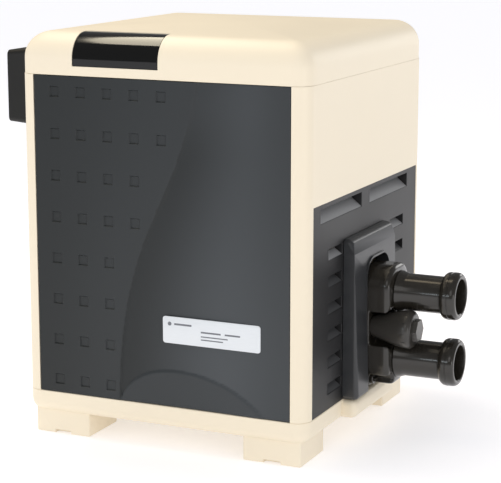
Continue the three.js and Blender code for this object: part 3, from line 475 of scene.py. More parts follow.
HILL_LEFT = ((-0.0745, 0.073), (-0.055, 0.128), (0.000, 0.134), (0.034, 0.133))
HILL_RIGHT = ((0.034, 0.133), (0.090, 0.131), (0.140, 0.112), (0.178, 0.073))


def bezier(points, share):
    weights = ((1 - share) ** 3, 3 * share * (1 - share) ** 2, 3 * share ** 2 * (1 - share), share ** 3)
    return [sum(w * p[axis] for w, p in zip(weights, points)) for axis in (0, 1)]


def lookup(table, value, given, wanted):
    """Reads one coordinate of a sampled curve from the other, along a run sorted by the given one."""
    if value <= table[0][given]:
        return table[0][wanted]
    for near, far in zip(table, table[1:]):
        if value <= far[given]:
            share = (value - near[given]) / max(far[given] - near[given], 1e-9)
            return near[wanted] + share * (far[wanted] - near[wanted])
    return table[-1][wanted]


sweep_line = sorted([bezier(part, k / 24) for part in (SWEEP_UPPER, SWEEP_LOWER) for k in range(25)],
                    key=lambda point: point[1])
hill_line = sorted([bezier(part, k / 24) for part in (HILL_LEFT, HILL_RIGHT) for k in range(25)])


def smooth(share):
    share = min(1.0, max(0.0, share))
    return share * share * (3 - 2 * share)


def cover_depth(x, z):
    """How far the cover's face lies behind its flat left part, at a place measured from the middle."""
    past_sweep = x - lookup(sweep_line, z, 1, 0)
    if past_sweep <= 0:
        return 0.0
    share = past_sweep / (COVER_HIGH.x - MIDDLE.x - lookup(sweep_line, z, 1, 0))
    dish = DISH_DEPTH * math.sin(math.pi * min(1.0, share * 1.15)) if share < 0.87 else 0.0
    depth = STEP_DEPTH * smooth(past_sweep / STEP_WIDTH) * (1 - 0.55 * smooth(share)) + dish
    above_hill = z - lookup(hill_line, x, 0, 1)
    hill = HILL_HEIGHT * smooth(-above_hill / STEP_WIDTH) if x < HILL_RIGHT[-1][0] else 0.0
    return max(0.0, depth - hill)


def painted_dish_sheen(x, z):
    """Painted sheen: how much paler colour the cover gets, standing in for the light reflected across it;
    from 0 on the textured part to 1 in the open of the dish.
    """
    edge = lookup(sweep_line, z, 1, 0)
    if x < edge:
        return 0.20 * smooth((x + 0.22) / (edge + 0.22))
    share = (x - edge) / (COVER_HIGH.x - MIDDLE.x - edge)
    low_down = smooth((0.56 - z) / 0.5)
    rise = smooth(share / 0.62) * (0.44 + 0.42 * low_down)
    top_step = 0.22 * smooth((z - 0.46) / 0.10)
    fall = 0.30 * smooth((share - 0.62) / 0.38)
    open_tone = max(0.0, rise + top_step * (1 - smooth(share)) - fall * (0.5 + 0.5 * low_down))
    if z < lookup(hill_line, x, 0, 1) and x < HILL_RIGHT[-1][0]:
        return 0.30 + 0.25 * smooth(share)
    return open_tone


def divided(bm, axis, places):
    """Cuts a sheet along a run of parallel planes."""
    normal = Vector((0, 0, 0))
    normal[axis] = 1.0
    for place in places:
        bmesh.ops.bisect_plane(bm, geom=bm.verts[:] + bm.edges[:] + bm.faces[:], plane_co=normal * place,
                               plane_no=normal, dist=1e-6)


pockets = []
for row, count in enumerate(POCKETS_PER_ROW):
    for column in range(count):
        pockets.append(POCKET_FIRST + Vector((column * POCKET_PITCH_X, 0, -row * POCKET_PITCH_Z)))
pocket_x = sorted({round(p.x + side * POCKET_SIZE / 2, 5) for p in pockets for side in (-1, 1)})
pocket_z = sorted({round(p.z + side * POCKET_SIZE / 2, 5) for p in pockets for side in (-1, 1)})
fine_x = [MIDDLE.x - 0.078 + 0.0022 * k for k in range(70)]
coarse_x = [MIDDLE.x + 0.080 + 0.005 * k for k in range(28)]
fine_z = [COVER_LOW.z + 0.0022 * k for k in range(1, 30)]
coarse_z = [0.146 + 0.0048 * k for k in range(92)]


def clear_of(values, edges):
    return [v for v in values if all(abs(v - e) > 0.0009 for e in edges)]


cover_bm = bmesh.new()
bmesh.ops.create_grid(cover_bm, x_segments=1, y_segments=1, size=0.5)
bmesh.ops.rotate(cover_bm, cent=(0, 0, 0), matrix=Matrix.Rotation(math.pi / 2, 3, "X"), verts=cover_bm.verts)
COVER_LOW += Vector((COVER_GAP, 0, COVER_GAP))
COVER_HIGH -= Vector((COVER_GAP, 0, COVER_GAP))
cover_size = COVER_HIGH - COVER_LOW
bmesh.ops.scale(cover_bm, vec=(cover_size.x, 1.0, cover_size.z), verts=cover_bm.verts)
bmesh.ops.translate(cover_bm, vec=(MIDDLE.x, 0, COVER_LOW.z + cover_size.z / 2), verts=cover_bm.verts)
divided(cover_bm, 0, pocket_x + clear_of(fine_x + coarse_x, pocket_x))
divided(cover_bm, 2, pocket_z + clear_of(fine_z + coarse_z, pocket_z))
for vert in cover_bm.verts:
    vert.co.y = COVER_LOW.y + cover_depth(vert.co.x - MIDDLE.x, vert.co.z)
# Each point of the cover carries its painted sheen share, which the cover's material reads.
painted_sheen_layer = cover_bm.verts.layers.float.new("dish_painted_sheen")
for vert in cover_bm.verts:
    vert[painted_sheen_layer] = painted_dish_sheen(vert.co.x - MIDDLE.x, vert.co.z)
in_pocket = []
for face in cover_bm.faces:
    centre = face.calc_center_median()
    if any(abs(centre.x - p.x) < POCKET_SIZE / 2 and abs(centre.z - p.z) < POCKET_SIZE / 2 for p in pockets):
        in_pocket.append(face)
bmesh.ops.inset_region(cover_bm, faces=in_pocket, thickness=0.0016, depth=-POCKET_DEPTH, use_boundary=True,
                       use_even_offset=True)
rim = [edge for edge in cover_bm.edges if edge.is_boundary]
turn_in = bmesh.ops.extrude_edge_only(cover_bm, edges=rim)["geom"]
bmesh.ops.translate(cover_bm, vec=(0, cover_size.y, 0),
                    verts=[v for v in turn_in if isinstance(v, bmesh.types.BMVert)])
back_rim = [edge for edge in cover_bm.edges if edge.is_boundary]
bmesh.ops.holes_fill(cover_bm, edges=back_rim, sides=0)
bmesh.ops.recalc_face_normals(cover_bm, faces=cover_bm.faces)

charcoal_plastic = plastic("charcoal_plastic", (0.014, 0.017, 0.018), 0.36, mottle=0.06, grain=0.0002)
charcoal_plastic.node_tree.nodes["Principled BSDF"].inputs["Specular IOR Level"].default_value = 0.36

# The cover's material is the charcoal plastic with painted sheen: the attribute mixes in a paler colour
# across the dish, standing in for the reflection gradient there.
cover_painted_sheen = charcoal_plastic.copy()
cover_painted_sheen.name = "cover_painted_sheen"
cover_nodes = cover_painted_sheen.node_tree.nodes
cover_links = cover_painted_sheen.node_tree.links
cover_shader = cover_nodes["Principled BSDF"]
base_link = cover_shader.inputs["Base Color"].links[0]
painted_sheen_node = cover_nodes.new("ShaderNodeAttribute")
painted_sheen_node.attribute_name = "dish_painted_sheen"
painted_sheen_mix = cover_nodes.new("ShaderNodeMix")
painted_sheen_mix.data_type = "RGBA"
painted_sheen_mix.inputs["B"].default_value = (0.066, 0.074, 0.082, 1.0)
cover_links.new(base_link.from_socket, painted_sheen_mix.inputs["A"])
cover_links.new(painted_sheen_node.outputs["Fac"], painted_sheen_mix.inputs["Factor"])
cover_links.new(painted_sheen_mix.outputs["Result"], cover_shader.inputs["Base Color"])
front_cover = make("front_cover", cover_bm, cover_painted_sheen)
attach(front_cover, "cabinet")
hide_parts("front_panel")

# ------------------------------------------------------------
# Name plate: a thin satin foil badge with rounded corners, stuck in the dish. Its print is only plain grey
# bars and a dot.
PLATE_LOW, PLATE_HIGH = (Vector(corner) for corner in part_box("name_plate"))
PLATE_CORNER = 0.0045
PLATE_RIM = 0.0005
DOT_RADIUS = 0.0032


def foil(name, colour, roughness, metallic):
    """Brushed foil: long streaks of tint on an even gloss."""
    finish = Finish(name)
    finish.shader.inputs["Metallic"].default_value = metallic
    finish.shader.inputs["Roughness"].default_value = roughness
    finish.stretch((60.0, 60.0, 1400.0))
    finish.tint(finish.noise(1.0, 2.0), colour, 0.94, 1.05)
    return finish.material


plate_bm = bmesh.new()
add_block(plate_bm, PLATE_LOW, PLATE_HIGH)
through = [e for e in plate_bm.edges if abs((e.verts[0].co - e.verts[1].co).y) > 0.0005]
round_edges(plate_bm, through, PLATE_CORNER, 6)
front_rim = [e for e in plate_bm.edges if all(v.co.y < PLATE_LOW.y + 1e-5 for v in e.verts)]
round_edges(plate_bm, front_rim, PLATE_RIM, 2)
badge = make("badge", plate_bm, foil("badge_foil", (0.74, 0.77, 0.80), 0.38, 0.15))
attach(badge, "cabinet")
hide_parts("name_plate")

badge_ink = plastic("badge_ink", (0.16, 0.17, 0.19), 0.5, mottle=0.05)
INK_THICKNESS = 0.0002
# Each bar: its start from the plate's left edge, its rise, its length and its height.
print_bars = (
    (0.020, 0.0300, 0.030, 0.0030),
    (0.066, 0.0215, 0.034, 0.0026),
    (0.107, 0.0215, 0.026, 0.0026),
    (0.066, 0.0150, 0.046, 0.0018),
    (0.066, 0.0100, 0.038, 0.0018),
)
print_bm = bmesh.new()
for start_x, rise, length, height in print_bars:
    corner = Vector((PLATE_LOW.x + start_x, PLATE_LOW.y - INK_THICKNESS / 2, PLATE_LOW.z + rise))
    add_block(print_bm, corner, corner + Vector((length, INK_THICKNESS, height)))
dot = bmesh.ops.create_cone(print_bm, cap_ends=True, segments=24, radius1=DOT_RADIUS, radius2=DOT_RADIUS,
                            depth=INK_THICKNESS)["verts"]
bmesh.ops.rotate(print_bm, cent=(0, 0, 0), matrix=Matrix.Rotation(math.pi / 2, 3, "X"), verts=dot)
bmesh.ops.translate(print_bm, vec=(PLATE_LOW.x + 0.012, PLATE_LOW.y, PLATE_LOW.z + 0.0315), verts=dot)
badge_print = make("badge_print", print_bm, badge_ink)
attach(badge_print, "cabinet")

# ------------------------------------------------------------
# Louvred side panel: dark grey moulding let into the right casing. Each air slot is a boxed recess with a
# steep sloping sill; two wide ones run along the top and two columns of small ones stand below.
GRILLE_SHEET = 0.0032
SLOT_COLUMNS = ((-0.170, -0.112), (0.104, 0.168))
SLOT_FIRST_Z = 0.309
SLOT_PITCH = 0.0428
SLOT_ROWS = 6
SLOT_HEIGHT = 0.020
SLOT_REACH = 0.014
SLOT_CLIMB = 0.62
WIDE_SLOTS = ((-0.203, -0.030), (0.006, 0.185))
WIDE_SLOT_Z = 0.371
WIDE_SLOT_HEIGHT = 0.026
WIDE_SLOT_REACH = 0.020
WIDE_SLOT_CLIMB = 0.72
CHEEK = 0.0022
SLOT_PROUD = 0.003
SILL_RISE = 0.0005
SILL_THICKNESS = 0.0004
MOUTH_FRONT = MIDDLE.y - 0.058
MOUTH_REAR = MIDDLE.y + 0.043
MOUTH_LOW = 0.081
MOUTH_TOP = 0.292

air_slots = [(span, WIDE_SLOT_Z, WIDE_SLOT_HEIGHT, WIDE_SLOT_REACH, WIDE_SLOT_CLIMB) for span in WIDE_SLOTS]
for row in range(SLOT_ROWS):
    for span in SLOT_COLUMNS:
        air_slots.append((span, SLOT_FIRST_Z - row * SLOT_PITCH, SLOT_HEIGHT, SLOT_REACH, SLOT_CLIMB))


def slot_blocks(name, grow, start_x, raise_sill):
    """One block for each air slot, its floor sloping up inwards if asked."""
    bm = bmesh.new()
    for (front, rear), low, height, reach, climb in air_slots:
        verts = add_block(bm, (GRILLE_HIGH.x - reach, MIDDLE.y + front - grow, low - grow),
                          (GRILLE_HIGH.x + start_x, MIDDLE.y + rear + grow, low + height + grow))
        if raise_sill:
            inner_floor = [v for v in verts
                           if v.co.x < GRILLE_HIGH.x - reach / 2 and v.co.z < low + height / 2]
            bmesh.ops.translate(bm, vec=(0, 0, height * climb), verts=inner_floor)
    return make(name, bm)


louvre_panel = slab("louvre_panel", (GRILLE_HIGH.x - GRILLE_SHEET, GRILLE_LOW.y, GRILLE_LOW.z),
                    (GRILLE_HIGH.x, GRILLE_HIGH.y, GRILLE_HIGH.z))
combine(louvre_panel, slot_blocks("slot_boxes", CHEEK, -0.0006, False), "UNION")
combine(louvre_panel, slot_blocks("slot_openings", 0.0, SLOT_PROUD, True))
combine(louvre_panel, slab("pipe_opening", (GRILLE_HIGH.x - 0.05, MOUTH_FRONT - 0.002, MOUTH_LOW - 0.002),
                           (GRILLE_HIGH.x + 0.01, MOUTH_REAR + 0.002, MOUTH_TOP + 0.002)))
soften(louvre_panel, 0.0007, 2, 35)
louvre_plastic = plastic("louvre_plastic", (0.016, 0.016, 0.017), 0.46, mottle=0.06, grain=0.0002)
dress(louvre_panel, louvre_plastic)
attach(louvre_panel, "cabinet")
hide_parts("side_grille")

# The sloping sills are thin grey sheets laid on the slot floors. Their colour is painted light: pale in the
# upper ones as a painted highlight, darker below as painted shade from the surround.
def painted_sill_sheets(name, slots, material):
    bm = bmesh.new()
    for (front, rear), low, height, reach, climb in slots:
        slope = height * climb / (reach + SLOT_PROUD)
        sheet = bmesh.ops.create_grid(bm, x_segments=2, y_segments=10, size=0.5)["verts"]
        bmesh.ops.scale(bm, vec=(reach - 0.0016, rear - front - 0.0012, 1.0), verts=sheet)
        for vert in sheet:
            vert.co.z = SILL_RISE - vert.co.x * slope
        centre_x = GRILLE_HIGH.x - reach / 2
        floor = low + slope * (reach / 2 + SLOT_PROUD)
        bmesh.ops.translate(bm, vec=(centre_x, MIDDLE.y + (front + rear) / 2, floor), verts=sheet)
    bmesh.ops.recalc_face_normals(bm, faces=bm.faces)
    for face in bm.faces:
        if face.normal.z < 0:
            face.normal_flip()
    painted_sills_piece = make(name, bm, material)
    thicken = painted_sills_piece.modifiers.new("thicken", "SOLIDIFY")
    thicken.thickness = SILL_THICKNESS
    thicken.offset = -1.0
    settle(painted_sills_piece)
    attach(painted_sills_piece, "cabinet")


# Painted light: both sill colours are far paler than the panel's own plastic; the pale one paints the light
# the upper sills catch, the darker one the shade on the lower sills.
PAINTED_LIT_SILLS = 4
sill_painted_lit = plastic("sill_painted_lit", (0.27, 0.272, 0.28), 0.42, mottle=0.06, grain=0.0002)
sill_painted_shade = plastic("sill_painted_shade", (0.075, 0.076, 0.079), 0.46, mottle=0.06, grain=0.0002)
painted_sill_sheets("sills_painted_lit", air_slots[:PAINTED_LIT_SILLS], sill_painted_lit)
painted_sill_sheets("sills_painted_shade", air_slots[PAINTED_LIT_SILLS:], sill_painted_shade)

# ------------------------------------------------------------
# Manifold surround: a raised dark grey moulding round the pipe opening, hollow behind, with rounded upright
# edges, a sloping top and a mouth with an arched head. It stands on the pan's shelf.
BEZEL_LOW, BEZEL_HIGH = (Vector(corner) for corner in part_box("manifold_surround"))
BEZEL_EDGE = 0.0075
BEZEL_SLOPE_DROP = 0.021
BEZEL_SLOPE_RUN = 0.0155
BEZEL_WALL = 0.004
MOUTH_HEAD_RADIUS = 0.030
MOUTH_FOOT_RADIUS = 0.008


def bezel_block(name, inset, back):
    bm = bmesh.new()
    low = Vector((back, BEZEL_LOW.y + inset, BEZEL_LOW.z + inset))
    high = BEZEL_HIGH - Vector((inset, inset, inset))
    add_block(bm, low, high)
    crown = [e for e in bm.edges if all(v.co.x > high.x - 1e-5 and v.co.z > high.z - 1e-5 for v in e.verts)]
    bmesh.ops.bisect_plane(bm, geom=bm.verts[:] + bm.edges[:] + bm.faces[:],
                           plane_co=(0, 0, high.z - BEZEL_SLOPE_DROP), plane_no=(0, 0, 1), dist=1e-6)
    for vert in {v for e in crown for v in e.verts}:
        vert.co.x -= BEZEL_SLOPE_RUN
    outer = [e for e in bm.edges if any(v.co.x > low.x + 1e-5 for v in e.verts)
             and e.calc_face_angle(0.0) > math.radians(20)]
    round_edges(bm, outer, max(BEZEL_EDGE - inset, 0.002), 5)
    return make(name, bm)


def mouth_block(name, grow, low_z, start_x, end_x):
    """A block along X with an arched head, for cutting the pipe opening."""
    bm = bmesh.new()
    low = Vector((start_x, MOUTH_FRONT - grow, low_z))
    high = Vector((end_x, MOUTH_REAR + grow, MOUTH_TOP + grow))
    add_block(bm, low, high)
    for is_top, radius in ((True, MOUTH_HEAD_RADIUS), (False, MOUTH_FOOT_RADIUS)):
        lengthwise = [e for e in bm.edges if abs(e.verts[0].co.x - e.verts[1].co.x) > 0.01
                      and (e.verts[0].co.z > (low.z + high.z) / 2) == is_top
                      and abs(e.verts[0].co.z - (high.z if is_top else low.z)) < 1e-5]
        round_edges(bm, lengthwise, radius + grow, 10)
    return make(name, bm)


manifold_bezel = bezel_block("manifold_bezel", 0.0, BEZEL_LOW.x)
combine(manifold_bezel, bezel_block("bezel_inside", BEZEL_WALL, BEZEL_LOW.x - 0.01))
mouth_rim = mouth_block("mouth_rim", 0.003, MOUTH_LOW - 0.003, BEZEL_LOW.x, BEZEL_HIGH.x - BEZEL_WALL)
combine(manifold_bezel, mouth_rim, "UNION")
combine(manifold_bezel, mouth_block("mouth_cut", 0.0, BEZEL_LOW.z - 0.012, BEZEL_LOW.x - 0.02,
                                    BEZEL_HIGH.x + 0.01))
soften(manifold_bezel, 0.0012, 3, 50)
bezel_plastic = plastic("bezel_plastic", (0.034, 0.0355, 0.038), 0.30, mottle=0.05, grain=0.0002)
dress(manifold_bezel, bezel_plastic)
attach(manifold_bezel, "cabinet")
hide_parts("manifold_surround")

# ------------------------------------------------------------
# Water header: one glossy black moulding with a domed head, blended into two pipe sockets and the drain
# boss, with a hollow between the sockets that seats the bypass bonnet. The bores run right through it.
HEADER_LOW, HEADER_HIGH = (Vector(corner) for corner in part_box("manifold_header"))
INLET_LOW, INLET_HIGH = (Vector(corner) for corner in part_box("water_inlet_pipe"))
OUTLET_LOW, OUTLET_HIGH = (Vector(corner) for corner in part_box("water_outlet_pipe"))
BONNET_LOW, BONNET_HIGH = (Vector(corner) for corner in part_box("bypass_bonnet"))
PLUG_LOW, PLUG_HIGH = (Vector(corner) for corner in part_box("drain_plug"))
INLET_CENTRE = (INLET_LOW + INLET_HIGH) / 2
OUTLET_CENTRE = (OUTLET_LOW + OUTLET_HIGH) / 2
BONNET_CENTRE = (BONNET_LOW + BONNET_HIGH) / 2
PLUG_CENTRE = (PLUG_LOW + PLUG_HIGH) / 2
HEADER_FACE = HEADER_HIGH.x
COLUMN_FACE = HEADER_FACE + 0.015
BONNET_SEAT = HEADER_FACE - 0.0198
PIPE_OUTER = 0.03015
PIPE_BORE = 0.026
SOCKET_OUTER = 0.0345
COLUMN_ROUND = 0.036
COLUMN_RIM = 0.007
BONNET_ROOM = 0.0335
BYPASS_BORE = 0.0165
BYPASS_SEAT = 0.0125
DRAIN_BOSS = 0.0115
DRAIN_BORE = 0.0054
DRAIN_FACE = PLUG_LOW.x + 0.0118
SKIN_VOXEL = 0.0018


def turned(name, profile, centre, steps=72, material=None):
    """Spins a closed profile of (x, radius) points about a line along X through a centre."""
    bm = bmesh.new()
    verts = [bm.verts.new((x, centre.y, centre.z + radius)) for x, radius in profile]
    edges = [bm.edges.new((verts[k], verts[(k + 1) % len(verts)])) for k in range(len(verts))]
    bmesh.ops.spin(bm, geom=verts + edges, cent=(0, centre.y, centre.z), axis=(1, 0, 0), angle=2 * math.pi,
                   steps=steps, use_merge=True, use_duplicate=False)
    bmesh.ops.remove_doubles(bm, verts=bm.verts, dist=1e-6)
    bmesh.ops.dissolve_degenerate(bm, edges=bm.edges, dist=1e-7)
    bmesh.ops.recalc_face_normals(bm, faces=bm.faces)
    return make(name, bm, material)


def plug(name, centre, radius, start, end):
    return turned(name, ((start, 0.0), (start, radius), (end, radius), (end, 0.0)), centre, 48)


header_bm = bmesh.new()
column_high = Vector((COLUMN_FACE - 0.001, HEADER_HIGH.y, HEADER_HIGH.z))
add_block(header_bm, HEADER_LOW, column_high)
along = [e for e in header_bm.edges if abs(e.verts[0].co.x - e.verts[1].co.x) > 0.01]
round_edges(header_bm, along, COLUMN_ROUND, 10)
outer_rim = [e for e in header_bm.edges if all(v.co.x > column_high.x - 1e-5 for v in e.verts)]
round_edges(header_bm, outer_rim, COLUMN_RIM, 4)
cast_header = make("cast_header", header_bm)
combine(cast_header, plug("bonnet_clearance", BONNET_CENTRE, BONNET_ROOM, BONNET_SEAT, COLUMN_FACE + 0.01))
combine(cast_header, plug("plug_clearance", PLUG_CENTRE, DRAIN_BOSS + 0.001, DRAIN_FACE, COLUMN_FACE + 0.01))
for centre in (INLET_CENTRE, OUTLET_CENTRE):
    combine(cast_header, plug("socket", centre, SOCKET_OUTER, HEADER_FACE - 0.05, COLUMN_FACE - 0.0005),
            "UNION")
combine(cast_header, plug("drain_boss", PLUG_CENTRE, DRAIN_BOSS, PLUG_LOW.x - 0.03, DRAIN_FACE), "UNION")
remesh = cast_header.modifiers.new("one_skin", "REMESH")
remesh.mode = "VOXEL"
remesh.voxel_size = SKIN_VOXEL
blend = cast_header.modifiers.new("fillets", "SMOOTH")
blend.factor = 0.5
blend.iterations = 10
settle(cast_header)
for centre in (INLET_CENTRE, OUTLET_CENTRE):
    combine(cast_header, plug("water_bore", centre, PIPE_BORE, HEADER_LOW.x - 0.01, COLUMN_FACE + 0.01))
    combine(cast_header, plug("socket_bore", centre, PIPE_OUTER + 0.0006, HEADER_FACE - 0.012,
                              COLUMN_FACE + 0.01))
combine(cast_header, plug("bypass_bore", BONNET_CENTRE, BYPASS_BORE, HEADER_FACE - 0.026, HEADER_FACE + 0.01))
combine(cast_header, plug("bypass_seat", BONNET_CENTRE, BYPASS_SEAT, HEADER_FACE - 0.060, HEADER_FACE - 0.02))
combine(cast_header, plug("drain_bore", PLUG_CENTRE, DRAIN_BORE, PLUG_LOW.x - 0.002, PLUG_HIGH.x))
pipe_plastic = plastic("pipe_plastic", (0.018, 0.0155, 0.012), 0.21, mottle=0.12, grain=0.00012, coat=0.35)
dress(cast_header, pipe_plastic)
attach(cast_header, "cabinet")
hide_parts("manifold_header")

# ------------------------------------------------------------
# Water stubs: two glossy black pipes screwed into the header, each with a flared root and a stepped union
# collar at the open end.
LIP_OUTER = 0.0385
STUB_START = INLET_LOW.x
STUB_END = INLET_HIGH.x
FLARE_LENGTH = 0.013
FLARE_RISE = 0.0042
COLLAR_ROOT = 0.0012
LIP_ROUND = 0.0090
LIP_DROP = 0.0058
GROOVE_DEPTH = 0.0008


def quarter(steps):
    """Angles from 0 to 90 degrees in equal steps."""
    return [math.pi / 2 * step / steps for step in range(steps + 1)]


def stub_profile():
    face = COLUMN_FACE
    end = STUB_END
    points = [(STUB_START, PIPE_BORE), (STUB_START, PIPE_OUTER), (face + 0.0003, PIPE_OUTER)]
    for angle in quarter(8):
        points.append((face + 0.0004 + FLARE_LENGTH * math.sin(angle),
                       PIPE_OUTER + FLARE_RISE * (1 - math.sin(angle))))
    points += [(end - 0.0290, PIPE_OUTER), (end - 0.0280, PIPE_OUTER + COLLAR_ROOT)]
    rise = LIP_OUTER - PIPE_OUTER - COLLAR_ROOT
    for angle in quarter(6):
        points.append((end - 0.0270 + LIP_ROUND * (1 - math.cos(angle)),
                       PIPE_OUTER + COLLAR_ROOT + rise * math.sin(angle)))
    groove = LIP_OUTER - GROOVE_DEPTH
    points += [(end - 0.0150, LIP_OUTER), (end - 0.0143, groove), (end - 0.0131, groove),
               (end - 0.0124, LIP_OUTER)]
    for angle in quarter(6):
        points.append((end - LIP_ROUND + LIP_ROUND * math.sin(angle),
                       LIP_OUTER - LIP_DROP * (1 - math.cos(angle))))
    points += [(end, PIPE_OUTER), (end - 0.0012, PIPE_OUTER - 0.0018), (end - 0.016, PIPE_BORE)]
    return points


for name, centre in (("inlet_stub", INLET_CENTRE), ("outlet_stub", OUTLET_CENTRE)):
    stub = turned(name, stub_profile(), centre, 80, pipe_plastic)
    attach(stub, "cabinet")
    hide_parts("water_inlet_pipe" if centre is INLET_CENTRE else "water_outlet_pipe")

# ------------------------------------------------------------
# Bypass bonnet: a black barrel on a narrow neck that holds the spring. It swells from its root to a broad
# grooved cap, with a hexagon on its end for a spanner.
CAP_OUTER = 0.031
CAP_ROUND = 0.009
CAP_DROP = 0.008
NECK_OUTER = 0.016
NECK_BORE = 0.012
ROOT_OUTER = 0.0170
BARREL_TAPER = 0.058
BARREL_STEPS = 14
HEX_OUTER = 0.0195
HEX_SUNK = 0.002
GRIP_GROOVES = 12
cap_face = BONNET_HIGH.x - 0.0150
hex_end = BONNET_HIGH.x - 0.0070
bore_end = BONNET_HIGH.x - 0.020
barrel_root = BONNET_SEAT + 0.0008
bonnet_profile = [(BONNET_LOW.x, NECK_BORE), (BONNET_LOW.x, NECK_OUTER), (barrel_root, NECK_OUTER),
                  (barrel_root, ROOT_OUTER)]
for step in range(1, BARREL_STEPS + 1):
    swell = 1 - (1 - step / BARREL_STEPS) ** 1.3
    bonnet_profile.append((barrel_root + BARREL_TAPER * step / BARREL_STEPS,
                           ROOT_OUTER + (CAP_OUTER - ROOT_OUTER) * swell))
for angle in quarter(6):
    bonnet_profile.append((cap_face - CAP_ROUND + CAP_ROUND * math.sin(angle),
                           CAP_OUTER - CAP_DROP * (1 - math.cos(angle))))
bonnet_profile += [(cap_face, 0.0), (bore_end, 0.0), (bore_end, NECK_BORE)]
bonnet = turned("bonnet", bonnet_profile, BONNET_CENTRE, 64)
hex_bm = bmesh.new()
bmesh.ops.create_cone(hex_bm, cap_ends=True, segments=6, radius1=HEX_OUTER, radius2=HEX_OUTER - 0.0008,
                      depth=hex_end - cap_face + HEX_SUNK)
bmesh.ops.rotate(hex_bm, cent=(0, 0, 0), matrix=Matrix.Rotation(math.pi / 2, 3, "Y"), verts=hex_bm.verts)
bmesh.ops.translate(hex_bm, vec=((hex_end + cap_face - HEX_SUNK) / 2, BONNET_CENTRE.y, BONNET_CENTRE.z),
                    verts=hex_bm.verts)
combine(bonnet, make("hexagon", hex_bm), "UNION")
rib_bm = bmesh.new()
for step in range(GRIP_GROOVES):
    rib = add_block(rib_bm, (-0.0065, -0.0008, CAP_OUTER - 0.0008), (0.0065, 0.0008, CAP_OUTER + 0.0008))
    turn = Matrix.Rotation(math.tau * step / GRIP_GROOVES, 3, "X")
    bmesh.ops.rotate(rib_bm, cent=(0, 0, 0), matrix=turn, verts=rib)
    bmesh.ops.translate(rib_bm, vec=(cap_face - 0.0145, BONNET_CENTRE.y, BONNET_CENTRE.z), verts=rib)
combine(bonnet, make("grip_grooves", rib_bm))
soften(bonnet, 0.0008, 3, 30)
# The bonnet's base colour is paler than the pipe plastic's: a painted highlight for the broad mid-grey sheen
# on its barrel, while its higher roughness spreads the real gloss.
dress(bonnet, plastic("bonnet_plastic", (0.034, 0.031, 0.027), 0.34, mottle=0.12, grain=0.00012, coat=0.25))
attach(bonnet, "cabinet")
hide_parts("bypass_bonnet")

# ------------------------------------------------------------
# Drain plug: a small black screw plug low on the header, with a cross bar to turn it by hand.
STEM_OUTER = 0.0049
FLANGE_OUTER = 0.009
BAR_HALF = Vector((0.0, 0.0075, 0.0018))
shoulder = PLUG_LOW.x + 0.0125
plug_face = PLUG_HIGH.x - 0.005
plug_profile = ((PLUG_LOW.x, 0.0), (PLUG_LOW.x, STEM_OUTER), (shoulder, STEM_OUTER), (shoulder, FLANGE_OUTER),
                (plug_face - 0.001, FLANGE_OUTER), (plug_face, FLANGE_OUTER - 0.0008), (plug_face, 0.0))
hand_plug = turned("hand_plug", plug_profile, PLUG_CENTRE, 40)
bar_root = Vector((plug_face - 0.0015, PLUG_CENTRE.y, PLUG_CENTRE.z))
bar_end = Vector((PLUG_HIGH.x, PLUG_CENTRE.y, PLUG_CENTRE.z))
combine(hand_plug, slab("plug_bar", bar_root - BAR_HALF, bar_end + BAR_HALF), "UNION")
soften(hand_plug, 0.0005, 2, 30)
dress(hand_plug, pipe_plastic)
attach(hand_plug, "cabinet")
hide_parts("drain_plug")

# ------------------------------------------------------------
# Flue hood: a black moulded box on the left wall with a drawn-in outer face, open at its mouth, and a
# slatted screen set back inside it.
HOOD_LOW, HOOD_HIGH = (Vector(corner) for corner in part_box("exhaust_hood"))
SCREEN_LOW, SCREEN_HIGH = (Vector(corner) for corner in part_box("hood_screen"))
HOOD_ROOT = MIDDLE.x - HALF_WIDTH - 0.0003
HOOD_WALL = 0.003
HOOD_EDGE = 0.008
HOOD_LIFT = 0.005
HOOD_DROP = 0.007
SLATS = 11
SLAT_WIDTH = 0.004
SCREEN_RIM = 0.005
FLUE_CENTRE = Vector((0.0, MIDDLE.y - 0.106, 0.540))
FLUE_OUTER = 0.034


def hood_block(name, inset, start, end):
    bm = bmesh.new()
    low = Vector((start, HOOD_LOW.y + inset, HOOD_LOW.z + inset))
    high = Vector((end, HOOD_HIGH.y - inset, HOOD_HIGH.z - inset))
    add_block(bm, low, high)
    for vert in bm.verts:
        if vert.co.x < (start + end) / 2:
            vert.co.z += HOOD_LIFT if vert.co.z < (low.z + high.z) / 2 else -HOOD_DROP
    lengthwise = [e for e in bm.edges if abs(e.verts[0].co.x - e.verts[1].co.x) > 0.01]
    round_edges(bm, lengthwise, HOOD_EDGE - inset, 5)
    return make(name, bm)


flue_hood = hood_block("flue_hood", 0.0, HOOD_LOW.x, HOOD_ROOT)
combine(flue_hood, hood_block("hood_inside", HOOD_WALL, HOOD_LOW.x - 0.001, HOOD_ROOT + 0.001))
hood_back = slab("hood_back", (HOOD_ROOT - HOOD_WALL, HOOD_LOW.y + 0.002, HOOD_LOW.z + 0.002),
                 (HOOD_ROOT, HOOD_HIGH.y - 0.002, HOOD_HIGH.z - 0.004))
combine(flue_hood, hood_back, "UNION")
combine(flue_hood, plug("flue_hole", FLUE_CENTRE, FLUE_OUTER + 0.001, HOOD_ROOT - 0.01, HOOD_ROOT + 0.01))
soften(flue_hood, 0.0009, 2, 40)
hood_plastic = plastic("hood_plastic", (0.004, 0.004, 0.0035), 0.60, mottle=0.06, grain=0.0002)
dress(flue_hood, hood_plastic)
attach(flue_hood, "cabinet")
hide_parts("exhaust_hood")

